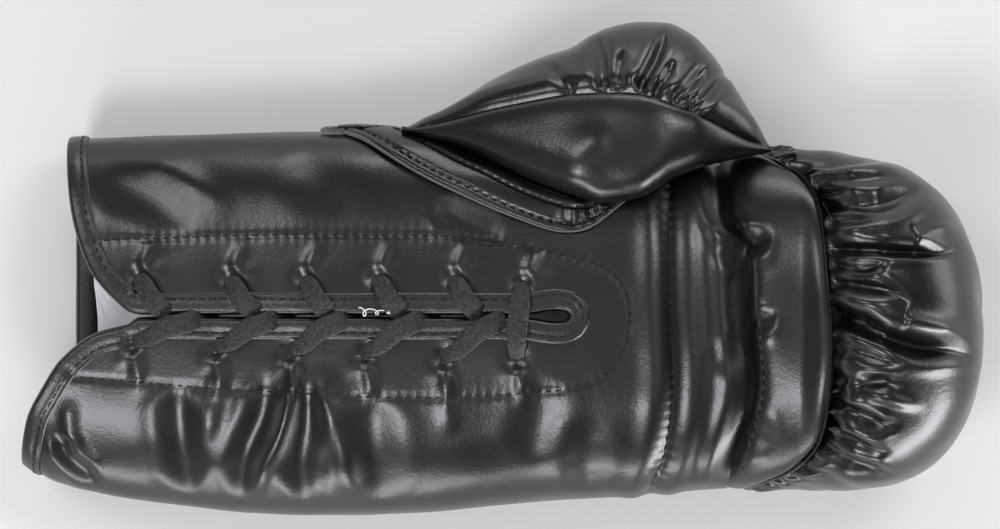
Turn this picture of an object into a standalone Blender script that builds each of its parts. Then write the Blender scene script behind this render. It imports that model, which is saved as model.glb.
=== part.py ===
"""Lace-up boxing glove, right size for an adult hand, lying on its back with the laced palm side up.

The glove runs along +X from the wrist's mouth to the fist, the thumb is on the +Y side, and +Z points up
out of the palm. Every outline below is in millimetres; meshes are written in metres. The hand is a bent
oval tube built in layers: leather cover, foam, and lining round the hollow that the hand fills.
"""
import math

import bmesh
import bpy
import numpy as np

MM = 0.001

# Driving dimensions, in millimetres.
TIP_X = 161.8            # fist's furthest point
CLOSE_X = 100.0          # from here on the fist rounds off
CAVITY_CLOSE_X = 96.0    # from here on the finger pocket rounds off
CAVITY_TIP_X = 136.0     # end of the finger pocket
SQUARENESS = 2.5         # exponent of the oval sections
ROUNDING = 2.6           # exponent of the fist's plan outline
REST_FLAT = 1.5          # depth of the flat that the glove rests on
COVER = 1.6              # leather thickness
LINING = 1.2             # lining thickness
GAP = 0.5                # play between neighbouring layers
BIND_GAP = 1.5           # play between a binding and the layers that it covers in
SLIT_Y = -15.5           # middle of the lacing slit
SLIT_HALF = 2.3          # half of the slit's width
SLIT_END_X = 21.0        # the flaps end here
PALM_START_X = 28.6      # whole palm cover starts here
BIND_W = 3.3             # width of the edge binding
FACING_W = 22.0          # width of the lace facing beside the slit
PALM_SEAM_X = 55.5       # cross seam in the palm
HAND_END_X = 76.5        # grip crease, hand side
HINGE_X = 77.4           # fold line of the fist
HOLE_R = 2.7             # lace holes
LACE_R = 1.2             # lace, drawn round
LACE_X_THUMB = (-120.8, -90.8, -65.2, -41.0, -16.2, 6.9)
LACE_X_LITTLE = (-122.4, -94.6, -69.9, -45.1, -19.3, 5.2)
LACE_OFF_THUMB = 12.2    # hole centres from the slit's middle
LACE_OFF_LITTLE = 12.4
KNOT_R = 3.4             # stopper knots at the lace's ends
THUMB_WAY_R = 11.0       # way from the palm into the thumb
THUMB_WAY_MIDDLE = (-8, 34, 37)
THUMB_WAY_AXIS = (0.42, 0.81, 0.42)
TIE_MIDDLE = (93.2, 41.9, 50.0)
TIE_SIZE = (5.4, 1.8, 5.0)

# Outlines in plan and height: (x, value) through which a smooth curve runs.
LITTLE_SIDE = [(-162, -65), (-150, -71), (-120, -77), (-84, -81.4), (-50, -83.1), (0, -79.6),
               (47, -76), (80, -74.2), (102, -74.4), (165, -74.4)]
THUMB_SIDE = [(-162, 42.5), (-146, 43.6), (-114, 45.2), (-60, 46), (0, 44), (50, 40), (80, 38.6),
              (100, 39.8), (165, 39.8)]
TOP_HEIGHT = [(-162, 49), (-120, 52), (-60, 58), (0, 62), (40, 64), (75, 65), (84, 67), (98, 70),
              (106, 77), (116, 90), (126, 93), (165, 93)]
WALL_SIDE = [(-162, 5.5), (-100, 8), (0, 11), (80, 12), (165, 14)]
WALL_BACK = [(-162, 6), (-100, 9), (0, 16), (80, 19), (165, 22)]
CAVITY_TOP = [(-162, 43), (-120, 46), (-60, 51.5), (0, 54.5), (40, 55), (76, 52), (100, 50), (165, 48)]
MOUTH_BACK = [(-70, -161.5), (-50, -151), (-32, -146), (20, -146), (45, -146.6)]
MOUTH_THUMB = [(-13.5, -123.5), (-5.4, -132.5), (1.3, -137.5), (19.8, -143.5), (45, -146.6)]
MOUTH_LITTLE = [(-70, -161.5), (-54, -158.6), (-39, -152.3), (-31.5, -148.2), (-19.1, -134.3),
                (-17.3, -123.5)]
GRIP_EDGE = [(-74, 84), (-70, 91), (-65.3, 98), (-57, 103.6), (-35, 106.6), (1.3, 105.4),
             (24.8, 102.5), (34.8, 93.5), (39, 88)]
THUMB_OUTER = [(-33, 46.8), (-20, 51.8), (-5, 62), (14, 71.7), (30, 79.5), (46.7, 83.1), (62.8, 80),
               (75.2, 66.3), (85.9, 49.2), (89.6, 41.4)]
THUMB_INNER = [(-33, 46), (-14.9, 39.4), (6.4, 29.4), (26, 23.4), (44, 24), (56.8, 30), (70.5, 35.2),
               (89.6, 40.2)]
THUMB_HALF_Z = [(-33, 5), (0, 15), (25, 19.5), (46, 21), (63, 18.5), (75, 13), (89.6, 2.5)]
THUMB_MID_Z = [(-33, 40), (0, 46), (25, 50), (60, 51), (89.6, 49)]
THUMB_LIFT = 0.32        # how much the thumb's palm edge is raised, per millimetre across
STRAP_LOWER = [(-52, 46.6), (-36, 36.4), (-20, 27.8), (4, 17.1), (17, 13.0), (30, 14.0)]
STRAP_UPPER = [(-40, 47.6), (-26, 41.8), (-2, 32.0), (13, 25.0), (26, 21.6), (32, 22.0)]


def smooth(points, t):
    """Height at t of a smooth curve through (t, height) points, flat-ended between its slopes."""
    ts = [p[0] for p in points]
    vs = [p[1] for p in points]
    t = min(max(t, ts[0]), ts[-1])
    k = min(max(int(np.searchsorted(ts, t)) - 1, 0), len(ts) - 2)

    def slope(i):
        if i in (0, len(ts) - 1):
            j = min(i, len(ts) - 2)
            return (vs[j + 1] - vs[j]) / (ts[j + 1] - ts[j])
        left = (vs[i] - vs[i - 1]) / (ts[i] - ts[i - 1])
        right = (vs[i + 1] - vs[i]) / (ts[i + 1] - ts[i])
        return 0 if left * right <= 0 else 2 * left * right / (left + right)

    h = ts[k + 1] - ts[k]
    u = (t - ts[k]) / h
    return ((2 * u**3 - 3 * u**2 + 1) * vs[k] + (u**3 - 2 * u**2 + u) * h * slope(k)
            + (3 * u**2 - 2 * u**3) * vs[k + 1] + (u**3 - u**2) * h * slope(k + 1))


def rounding(x, start, end):
    """Share of the full width left at x of a form that rounds off between start and end."""
    t = min(max((x - start) / (end - start), 0.0), 1.0)
    return (1 - t**ROUNDING) ** (1 / ROUNDING)


def oval(x, a, yc, zc, half_y, half_z):
    """Point of an oval section. Angle 0 is the thumb side, 90 degrees the palm."""
    c, s = math.cos(a), math.sin(a)
    power = 2 / SQUARENESS
    return np.array([x, yc + half_y * math.copysign(abs(c)**power, c),
                     zc + half_z * math.copysign(abs(s)**power, s)])


def outer_section(x):
    """Centre and half sizes of the hand's outer surface at x."""
    lo, hi, top = smooth(LITTLE_SIDE, x), smooth(THUMB_SIDE, x), smooth(TOP_HEIGHT, x)
    k = rounding(x, CLOSE_X, TIP_X)
    return (lo + hi) / 2, top / 2, (hi - lo) / 2 * k, (top + 2 * REST_FLAT) / 2 * k


def skin(x, a, depth=0.0):
    """Point of the hand's outer surface, or of a surface that lies depth below it."""
    yc, zc, half_y, half_z = outer_section(x)
    p = oval(x, a, yc, zc - REST_FLAT / 2, half_y, half_z)
    p[2] = max(p[2], 0.0)
    centre = np.array([min(x, CLOSE_X + 5), yc, zc])
    inward = centre - p
    p = p + inward / np.linalg.norm(inward) * depth
    p[2] = max(p[2], 0.0)
    return p


def cavity(x, a, outset=0.0):
    """Point of the hollow's wall, or of a surface that lies outset outside it. x runs to the fist's tip."""
    if x > CAVITY_CLOSE_X:
        share = (x - CAVITY_CLOSE_X) / (TIP_X - CAVITY_CLOSE_X)
        x = CAVITY_CLOSE_X + share * (CAVITY_TIP_X - CAVITY_CLOSE_X)
    side = smooth(WALL_SIDE, x)
    lo, hi = smooth(LITTLE_SIDE, x) + side, smooth(THUMB_SIDE, x) - side
    low, top = smooth(WALL_BACK, x), smooth(CAVITY_TOP, x)
    k = rounding(x, CAVITY_CLOSE_X, CAVITY_TIP_X)
    yc, zc = (lo + hi) / 2, (low + top) / 2
    p = oval(x, a, yc, zc, (hi - lo) / 2 * k, (top - low) / 2 * k)
    outward = p - np.array([min(x, CAVITY_CLOSE_X), yc, zc])
    return p + outward / np.linalg.norm(outward) * outset


def top_z(x, y):
    """Height of the palm side's outer surface over (x, y)."""
    yc, zc, half_y, half_z = outer_section(x)
    return zc - REST_FLAT / 2 + half_z * (1 - min(abs((y - yc) / half_y), 1)**SQUARENESS)**(1 / SQUARENESS)


def angle_at(x, y):
    """Angle at which the palm side's outer surface crosses y."""
    yc, _, half_y, _ = outer_section(x)
    share = min(max((y - yc) / half_y, -1), 1)
    return math.acos(math.copysign(abs(share) ** (SQUARENESS / 2), share))


def cut_y(x, side):
    """Where the flap on that side (+1 thumb, -1 little finger) turns back on the palm, at x."""
    t = min(max((x + 150) / (SLIT_END_X + 150), 0), 1)
    start = 38.0 if side > 0 else -66.0
    return start + (SLIT_Y + side * (SLIT_HALF + BIND_W + 12) - start) * t


def mouth_x(a):
    """The glove's mouth, as the x where a line of angle a starts."""
    yc, _, half_y, _ = outer_section(-150)
    c = math.cos(a)
    y = yc + half_y * math.copysign(abs(c) ** (2 / SQUARENESS), c)
    if math.sin(a) < 0:
        return smooth(MOUTH_BACK, y)
    return smooth(MOUTH_THUMB, y) if y > SLIT_Y else smooth(MOUTH_LITTLE, y)


def rad(*degrees):
    """The angles in radians."""
    return [math.radians(d) for d in degrees]


def material(name, colour, roughness, metallic=0.0):
    made = bpy.data.materials.get(name) or bpy.data.materials.new(name)
    made.use_nodes = True
    shader = made.node_tree.nodes["Principled BSDF"]
    shader.inputs["Base Color"].default_value = (*colour, 1)
    shader.inputs["Roughness"].default_value = roughness
    shader.inputs["Metallic"].default_value = metallic
    return made


def leather(name):
    return material(name + "_leather", (0.012, 0.012, 0.014), 0.32)


def foam(name):
    return material(name + "_foam", (0.55, 0.56, 0.58), 0.9)


def cloth(name):
    return material(name + "_cloth", (0.88, 0.88, 0.9), 0.55)


def finish(name, bm, look):
    """Writes the mesh as an object of that name."""
    bmesh.ops.recalc_face_normals(bm, faces=bm.faces)
    mesh = bpy.data.meshes.new(name)
    bm.to_mesh(mesh)
    bm.free()
    mesh.materials.append(look)
    mesh.shade_smooth()
    mesh.set_sharp_from_angle(angle=math.radians(50))
    made = bpy.data.objects.new(name, mesh)
    bpy.context.scene.collection.objects.link(made)
    return made


def shell(name, look, grid, outer, inner, keep=None, ring=False, tip=None):
    """A closed wall between two surfaces over a grid of (x, angle) places.

    keep(i, j) says which cells exist, ring joins the last column to the first, and tip gives the outer
    and the inner point that close the far end.
    """
    bm = bmesh.new()
    rows, cols = len(grid), len(grid[0])
    layers = []
    for surface in (outer, inner):
        layers.append([[bm.verts.new(surface(x, a) * MM) for x, a in row] for row in grid])
    cells = [(i, j) for i in range(rows - 1) for j in range(cols if ring else cols - 1)
             if keep is None or keep(i, j)]
    edges = {}
    for i, j in cells:
        k = (j + 1) % cols
        corners = [(i, j), (i + 1, j), (i + 1, k), (i, k)]
        for half in (corners[:3], corners[2:] + corners[:1]):
            bm.faces.new([layers[0][r][c] for r, c in half])
            bm.faces.new([layers[1][r][c] for r, c in reversed(half)])
        for n in range(4):
            edge = (corners[n], corners[(n + 1) % 4])
            edges[frozenset(edge)] = None if frozenset(edge) in edges else edge
    if tip is not None:
        poles = [bm.verts.new(p * MM) for p in tip]
        for j in range(cols if ring else cols - 1):
            k = (j + 1) % cols
            bm.faces.new([layers[0][-1][j], poles[0], layers[0][-1][k]])
            bm.faces.new([layers[1][-1][k], poles[1], layers[1][-1][j]])
            edges.pop(frozenset([(rows - 1, j), (rows - 1, k)]), None)
    for edge in edges.values():
        if edge:
            (r, c), (s, d) = edge
            bm.faces.new([layers[0][r][c], layers[1][r][c], layers[1][s][d], layers[0][s][d]])
    loose = [v for v in bm.verts if not v.link_faces]
    bmesh.ops.delete(bm, geom=loose, context="VERTS")
    return finish(name, bm, look)


def depth(d):
    return lambda x, a: skin(x, a, d)


def round_hollow(e):
    return lambda x, a: cavity(x, a, e)


FOAM_OUT, FOAM_IN = COVER + GAP, LINING + GAP


def rows_from(start, stations):
    """Stations along x, the first few spread between the mouth and the first fixed station."""
    spread = [start + (stations[0] - start) * s for s in (0, 0.25, 0.6)]
    return spread + list(stations)


HAND_ROWS = (-105, -75, -45, -18, 5, SLIT_END_X + 1.6, PALM_START_X, 40, PALM_SEAM_X)
STRIP_ROWS = (PALM_SEAM_X + 0.8, 66, HAND_END_X)
BACK_ANGLES = rad(*np.linspace(189, 351, 9))


def back_grid():
    stations = HAND_ROWS + STRIP_ROWS[1:]
    columns = [[(x, a) for x in rows_from(mouth_x(a) + BIND_W + BIND_GAP, stations)] for a in BACK_ANGLES]
    return [list(row) for row in zip(*columns)]


def palm_columns(x):
    """Angles across the palm side at x: thumb wing, middle, little-finger wing."""
    wing_t = angle_at(x, cut_y(x, 1)) - 0.012
    wing_l = angle_at(x, cut_y(x, -1)) + 0.012
    start, end = rad(-8, 188)
    angles = [start + (wing_t - start) * s for s in (0, 0.3, 0.6, 0.85, 1)]
    angles += [wing_t + (wing_l - wing_t) * s for s in (0.33, 0.67)]
    angles += [wing_l + (end - wing_l) * s for s in (0, 0.15, 0.4, 0.7, 1)]
    return angles


def palm_grid(stations, from_mouth=True):
    """The palm side's grid. Its middle cells exist only beyond the lacing slit."""
    if not from_mouth:
        return [[(x, a) for a in palm_columns(x)] for x in stations]
    first = [[] for _ in range(3)]
    for j, a in enumerate(palm_columns(-140)):
        start = mouth_x(a) + BIND_W + BIND_GAP
        for i, s in enumerate((0, 0.25, 0.6)):
            x = start + (stations[0] - start) * s
            first[i].append((x, palm_columns(x)[j]))
    return first + [[(x, a) for a in palm_columns(x)] for x in stations]


WING_CELLS = 4           # cells across a wing; the middle has three
SLIT_ROWS = 3 + HAND_ROWS.index(PALM_START_X)


def palm_keep(i, j):
    return i >= SLIT_ROWS or j < WING_CELLS or j >= WING_CELLS + 3


def build_hand():
    back = back_grid()
    palm = palm_grid(HAND_ROWS)
    full = palm_grid(HAND_ROWS + STRIP_ROWS[1:])
    shell("back_cover", leather("back"), back, depth(0), depth(COVER))
    shell("back_foam", foam("back"), back, depth(FOAM_OUT), round_hollow(FOAM_IN))
    parts = [shell("palm_cover", leather("palm"), palm, depth(0), depth(COVER), palm_keep),
             shell("palm_foam", foam("palm"), full, depth(FOAM_OUT), round_hollow(FOAM_IN), palm_keep)]
    shell("palm_seam_panel", leather("palm_seam"), palm_grid(STRIP_ROWS, False), depth(0), depth(COVER))
    ring = [row + [(x, a) for x, a in other[1:-1]] for row, other in zip(full, back)]
    parts.append(shell("hand_lining", cloth("hand"), ring, round_hollow(LINING), round_hollow(0),
                       palm_keep, ring=True))
    return parts


def slit_angle(x, side, off):
    return angle_at(x, SLIT_Y + side * off)


def flap_grid(side, near, far_off):
    """Grid over one flap, from near(x) angle to far_off millimetres from the slit's middle."""
    stations = (-105, -75, -45, -18, 5, SLIT_END_X)
    rows = []
    share = (0, 0.2, 0.5, 0.8, 1)

    def columns(x):
        a, b = near(x), slit_angle(x, side, far_off)
        return [a + (b - a) * s for s in share]

    for s in (0, 0.25, 0.6):
        row = []
        for j, a in enumerate(columns(-135)):
            start = mouth_x(a) + BIND_W + BIND_GAP * (2 + 4 * share[j]**2)
            x = start + (stations[0] - start) * s
            row.append((x, columns(x)[j]))
        rows.append(row)
    return rows + [[(x, a) for a in columns(x)] for x in stations]


def binding(name, edge, level_out=-0.6, level_in=-0.6):
    """A strip folded over a raw edge. edge lists (x, angle) of the edge and of the strip's inner side."""
    grid = [[outer, inner] for outer, inner in edge]
    return shell(name, leather("binding"), grid, depth(level_out), round_hollow(level_in))


def flap_edge(side):
    """The flap's free edge: along the mouth, round the corner and along the slit."""
    lip = SLIT_HALF
    corner = slit_angle(-125, side, lip)
    hinge = angle_at(-143, cut_y(-143, side))
    edge = []
    for s in (0, 0.25, 0.5, 0.72, 0.88, 0.97):
        a = hinge + (corner - hinge) * s
        inner = hinge + (slit_angle(-120, side, lip + BIND_W) - hinge) * s
        edge.append(((mouth_x(a), a), (mouth_x(a) + BIND_W, inner)))
    for x in (-119, -105, -90, -75, -60, -45, -31, -18, -6, 5, SLIT_END_X):
        edge.append(((x, slit_angle(x, side, lip)), (x, slit_angle(x, side, lip + BIND_W))))
    return edge


def lace_holes(side):
    xs = LACE_X_THUMB if side > 0 else LACE_X_LITTLE
    off = LACE_OFF_THUMB if side > 0 else LACE_OFF_LITTLE
    return [(x, SLIT_Y + side * off) for x in xs]


def build_flap(word, side):
    def near_cut(x):
        return angle_at(x, cut_y(x, side)) + side * 0.012

    def near_facing(x):
        wide = min(FACING_W, abs(cut_y(x, side) - SLIT_Y) - 1.5)
        return angle_at(x, SLIT_Y + side * wide)

    def foam_end(x):
        return min(FACING_W + 0.8, abs(cut_y(x, side) - SLIT_Y) - 0.6)

    lip = SLIT_HALF + BIND_W + BIND_GAP
    whole = flap_grid(side, near_cut, lip)
    facing = flap_grid(side, near_facing, lip + GAP)
    parts = [
        shell(f"flap_cover_{word}", leather("flap"), whole, depth(0), depth(COVER)),
        shell(f"lace_facing_{word}", leather("facing"), facing, depth(FOAM_OUT), depth(FOAM_OUT + 1.4)),
        shell(f"flap_lining_{word}", cloth("flap"), whole, round_hollow(LINING), round_hollow(0)),
    ]
    padded = [[(x, near_cut(x) + (slit_angle(x, side, foam_end(x)) - near_cut(x)) * s)
               for s in (0.03, 0.35, 0.7, 1)] for x in (-130, -120, -105, -75, -45, -25)]
    shell(f"flap_foam_{word}", foam("flap"), padded, depth(FOAM_OUT + 0.8), round_hollow(FOAM_IN))
    for k, (x, y) in enumerate(lace_holes(side)):
        punch = cylinder(f"punch_{word}_{k}", (x, y, top_z(x, y) - 3), (0, 0, 1), HOLE_R, 40, 10)
        for part in parts:
            cut(part, punch)
    binding(f"flap_binding_{word}", flap_edge(side))


def cylinder(name, centre, axis, radius, length, sides):
    """A cutting cylinder, not part of the glove."""
    bm = bmesh.new()
    bmesh.ops.create_cone(bm, cap_ends=True, segments=sides, radius1=radius * MM, radius2=radius * MM,
                          depth=length * MM)
    made = finish(name, bm, material("cutter", (1, 0, 0), 0.5))
    direction = np.array(axis, float) / np.linalg.norm(axis)
    tilt = math.acos(direction[2])
    made.rotation_euler = (0, tilt, math.atan2(direction[1], direction[0]))
    made.location = np.array(centre) * MM
    made.hide_render = True
    made.display_type = "WIRE"
    return made


def cut(part, cutter):
    step = part.modifiers.new(cutter.name, "BOOLEAN")
    step.operation = "DIFFERENCE"
    step.object = cutter


def hand_bindings():
    """The rest of the mouth's binding, on the back and both sides, and the binding at the slit's end."""
    start = angle_at(-143, cut_y(-143, -1)) + 0.02
    end = angle_at(-143, cut_y(-143, 1)) - 0.02 + 2 * math.pi
    angles = np.linspace(start, end, 15)
    edge = [((mouth_x(a), a), (mouth_x(a) + BIND_W, a)) for a in angles]
    binding("back_binding", edge)
    low, high = SLIT_END_X + 1.6, PALM_START_X - 0.5
    grid = [[(x, angle_at(x, SLIT_Y + off)) for off in (9, 3, -3, -9)] for x in (low, high)]
    shell("slit_end_binding", leather("binding"), grid, depth(-0.6), round_hollow(LINING + 0.2))


def hinge_plane(z):
    """Where the fist's parts start, leaning away from the hand so that the grip can close."""
    return HINGE_X + 1.2 + 0.105 * z


def fist_start(a):
    """x where the fist's cover starts on the line of angle a: the grip seam or the fold."""
    p = skin(CLOSE_X, a)
    fold = hinge_plane(skin(80, a)[2])
    if math.sin(a) <= 0:
        return fold
    return max(fold, smooth(GRIP_EDGE, p[1]))


FIST_ANGLES = rad(*np.linspace(0, 360, 25)[:-1])
TIP_ROWS = [math.sin(math.radians(d)) for d in (0, 14, 28, 42, 56, 69, 80)]


def build_fist():
    grid = [[(fist_start(a) + 0.4 + (TIP_X - fist_start(a) - 0.4) * s, a) for a in FIST_ANGLES]
            for s in TIP_ROWS]
    mid_y, mid_z = outer_section(TIP_X)[:2]

    pocket_z = (smooth(WALL_BACK, CAVITY_TIP_X) + smooth(CAVITY_TOP, CAVITY_TIP_X)) / 2

    def tip(x, z=mid_z):
        return np.array([x, mid_y, z])

    shell("fist_cover", leather("fist"), grid, depth(0), depth(COVER), ring=True,
          tip=(tip(TIP_X), tip(TIP_X - COVER)))
    clear = LINING + 2.0
    shell("fist_foam", foam("fist"), grid, depth(FOAM_OUT), round_hollow(clear), ring=True,
          tip=(tip(TIP_X - FOAM_OUT), tip(CAVITY_TIP_X + clear, pocket_z)))
    pocket = [[(hinge_plane(skin(80, a)[2]) + (TIP_X - hinge_plane(skin(80, a)[2])) * s, a)
               for a in FIST_ANGLES[::2]] for s in TIP_ROWS]
    shell("finger_lining", cloth("finger"), pocket, round_hollow(0), round_hollow(-LINING), ring=True,
          tip=(tip(CAVITY_TIP_X, pocket_z), tip(CAVITY_TIP_X - LINING, pocket_z)))

    def grip_grid(low, high, back_off):
        rows = []
        for s in (0, 0.33, 0.67, 1):
            row = []
            for a in rad(*np.linspace(low, high, 11)):
                x0, x1 = hinge_plane(skin(80, a)[2]), fist_start(a) - back_off
                row.append((x0 + (x1 - x0) * s, a))
            rows.append(row)
        return rows

    shell("grip_panel", leather("grip"), grip_grid(15, 165, 0.5), depth(0), depth(COVER))
    shell("grip_bar", foam("grip"), grip_grid(22.5, 157.5, 1.2), depth(FOAM_OUT + 0.6),
          round_hollow(FOAM_IN + 0.4))


def thumb_section(x):
    """Centre, half sizes and lean of the thumb's section at x."""
    outer, inner = smooth(THUMB_OUTER, x), smooth(THUMB_INNER, x)
    return (outer + inner) / 2, smooth(THUMB_MID_Z, x), (outer - inner) / 2, smooth(THUMB_HALF_Z, x)


def thumb_skin(x, a, inset=0.0):
    """Point of the thumb's surface, kept clear of the hand that it lies against, less an inset."""
    yc, zc, half_y, half_z = thumb_section(x)
    _, y, z = oval(x, a, 0, 0, half_y, half_z)
    p = np.array([x, yc + y, zc + z - THUMB_LIFT * y])
    hand_y, hand_z, wide, high = outer_section(x)
    clear = 1.0 if x < HAND_END_X else 2.2
    wide, high = wide + clear, high + clear
    size = (abs((p[1] - hand_y) / wide)**SQUARENESS + abs((p[2] - hand_z) / high)**SQUARENESS)
    if size < 1:
        grow = size ** (-1 / SQUARENESS)
        p[1:] = np.array([hand_y, hand_z]) + (p[1:] - [hand_y, hand_z]) * grow
    centre = np.array([min(x, 66.0), yc + 2.0, zc + 6.0])
    inward = centre - p
    far = np.linalg.norm(inward)
    return p + inward / far * min(inset, far - 0.5)


def build_thumb():
    stations = (-33, -20, -6, 9, 24, 39, 52, 64, 74, 82, 87)
    inner_rows = (-6, 9, 24, 39, 52, 64, 74, 82, 87)
    tip_x = 89.6
    wall = 6.5

    def at(inset):
        return lambda x, a: thumb_skin(x, a, inset)

    def tip(inset):
        return thumb_skin(tip_x, math.radians(90), inset)

    rings = rad(*range(-164, 196, 20))
    seam = rings.index(math.radians(36))
    outer_angles = rings[:seam + 1]
    inner_angles = [rings[seam] + 0.04] + rings[seam + 1:] + [rings[0] + 2 * math.pi - 0.04]
    grid = [[(x, a) for a in rings] for x in inner_rows]
    return [
        shell("thumb_outer_cover", leather("thumb_outer"),
              [[(x, a) for a in outer_angles] for x in stations], at(0), at(COVER)),
        shell("thumb_inner_cover", leather("thumb_inner"),
              [[(x, a) for a in inner_angles] for x in stations], at(0), at(COVER)),
        shell("thumb_foam", foam("thumb"), grid, at(FOAM_OUT), at(wall), ring=True,
              tip=(tip(FOAM_OUT + 1), tip(wall + 1))),
        shell("thumb_lining", cloth("thumb"), grid, at(wall + GAP), at(wall + GAP + 1), ring=True,
              tip=(tip(wall + 2), tip(wall + 3))),
    ]


def strap_grid():
    rows = []
    for n in range(9):
        s = n / 8
        low_x = STRAP_LOWER[0][0] + (STRAP_LOWER[-1][0] - STRAP_LOWER[0][0]) * s
        up_x = STRAP_UPPER[0][0] + (STRAP_UPPER[-1][0] - STRAP_UPPER[0][0]) * s
        low = np.array([low_x, smooth(STRAP_LOWER, low_x)])
        up = np.array([up_x, smooth(STRAP_UPPER, up_x)])
        row = []
        for t in (0, 0.5, 1):
            x, y = low + (up - low) * t
            row.append((x, angle_at(x, min(y, smooth(THUMB_SIDE, x) - 2.0))))
        rows.append(row)
    return rows


def build_strap_and_tie():
    """The double-stitched strap at the thumb's root, and the tab that ties its tip to the grip seam."""
    shell("thumb_strap", leather("strap"), strap_grid(), depth(-2.0), depth(-0.5))
    bm = bmesh.new()
    bmesh.ops.create_cube(bm, size=1)
    size, middle = np.array(TIE_SIZE), np.array(TIE_MIDDLE)
    for v in bm.verts:
        v.co = (np.array(v.co) * size + middle) * MM
    finish("thumb_tie", bm, leather("tie"))


def hollow_top(x, y):
    """Height of the hollow's upper wall over (x, y)."""
    a = angle_at(x, y)
    for _ in range(4):
        a += (cavity(x, a)[1] - y) / (0.9 * outer_section(x)[2])
    return cavity(x, a)[2]


def through(points, spacing):
    """Evenly spaced points of a smooth curve through the given points."""
    points = [2 * points[0] - points[1]] + points + [2 * points[-1] - points[-2]]
    fine = []
    for p0, p1, p2, p3 in zip(points, points[1:], points[2:], points[3:]):
        for t in np.linspace(0, 1, 12, endpoint=False):
            fine.append(0.5 * (2 * p1 + (p2 - p0) * t + (2 * p0 - 5 * p1 + 4 * p2 - p3) * t**2
                               + (3 * p1 - p0 - 3 * p2 + p3) * t**3))
    fine = np.array(fine + [points[-2]])
    run = np.concatenate([[0], np.cumsum(np.linalg.norm(np.diff(fine, axis=0), axis=1))])
    at = np.linspace(0, run[-1], int(run[-1] / spacing) + 1)
    return np.stack([np.interp(at, run, fine[:, k]) for k in range(3)], axis=1)


def strand(start, end, side, shift):
    """One run of lace: up out of a hole, over the binding, down the slit and under the other flap."""
    (x0, y0), (x1, y1) = start, end
    middle = (x0 + x1) / 2 + shift
    top, low = top_z(middle, SLIT_Y), hollow_top(middle, SLIT_Y)
    over, under = 2.3, -2.4
    points = [(x0, y0, top_z(x0, y0) + 0.6), (x0 + 2.2, y0 - side * 2.2, top_z(x0, y0) + over + 0.4)]
    dive = [(4.6, over), (2.5, over + 0.2), (1.0, 1.3), (0.3, -1.4)]
    points += [(middle - off, SLIT_Y + side * off, top + z) for off, z in dive]
    rise = [(0.3, 1.2), (0.8, -1.8), (2.4, under - 0.8), (4.6, under - 0.3)]
    points += [(middle + off, SLIT_Y - 0.4 - side * off, low + z) for off, z in rise]
    points += [(x1 - 2.2, y1 + side * 2.2, hollow_top(x1, y1) + under - 0.3),
               (x1, y1, hollow_top(x1, y1) - 0.6)]
    return [np.array(p) for p in points]


def build_lace():
    """One flat braid, drawn round, from knot to knot: criss-cross through every hole to the last pair."""
    holes = {1: lace_holes(1), -1: lace_holes(-1)}
    routes = {}
    for first in (1, -1):
        side = first
        route = [np.array([*holes[side][0], hollow_top(*holes[side][0]) - 3.0])]
        for k in range(len(LACE_X_THUMB) - 1):
            route += strand(holes[side][k], holes[-side][k + 1], side, -2.4 * first)
            side = -side
        routes[side] = route + [np.array([*holes[side][-1], top_z(*holes[side][-1]) + 0.6])]
    bar = []
    for y in (SLIT_Y - 9, SLIT_Y, SLIT_Y + 9):
        x = (LACE_X_THUMB[-1] + LACE_X_LITTLE[-1]) / 2
        bar.append(np.array([x, y, top_z(x, SLIT_Y) + 2.6]))
    route = routes[-1] + bar + routes[1][::-1]
    points = through(route, 3.1)
    curve = bpy.data.curves.new("lace", "CURVE")
    curve.dimensions = "3D"
    curve.bevel_depth = LACE_R * MM
    curve.bevel_resolution = 1
    curve.use_fill_caps = True
    line = curve.splines.new("POLY")
    line.points.add(len(points) - 1)
    for spot, p in zip(line.points, points):
        spot.co = (*(p * MM), 1)
    curve.materials.append(material("lace", (0.02, 0.02, 0.022), 0.85))
    made = bpy.data.objects.new("lace", curve)
    bpy.context.scene.collection.objects.link(made)
    for word, side in (("thumb_side", 1), ("little_side", -1)):
        x, y = holes[side][0]
        bm = bmesh.new()
        bmesh.ops.create_icosphere(bm, subdivisions=2, radius=KNOT_R * MM)
        bmesh.ops.translate(bm, verts=bm.verts,
                            vec=np.array([x, y, hollow_top(x, y) - 3.4 - KNOT_R]) * MM)
        finish(f"lace_knot_{word}", bm, material("lace", (0.02, 0.02, 0.022), 0.85))


for old in list(bpy.data.objects):
    bpy.data.objects.remove(old, do_unlink=True)

hand_parts = build_hand()
build_flap("thumb_side", 1)
build_flap("little_side", -1)
hand_bindings()
build_fist()
thumb_parts = build_thumb()
build_strap_and_tie()
build_lace()
way_in = cylinder("thumb_way", THUMB_WAY_MIDDLE, THUMB_WAY_AXIS, THUMB_WAY_R, 36, 12)
for piece in hand_parts + thumb_parts:
    cut(piece, way_in)
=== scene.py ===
"""Looks of the lace-up boxing glove: leather, gathers, seams, stitches, bindings, lace and lining.

The glove's skin is a run of oval sections along +X, as in the CAD model, and every leather piece is a
patch of that skin over (x, angle), pushed in and out by its folds, seams and gathers. Work is in
millimetres; meshes are written in metres.
"""

import math

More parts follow.
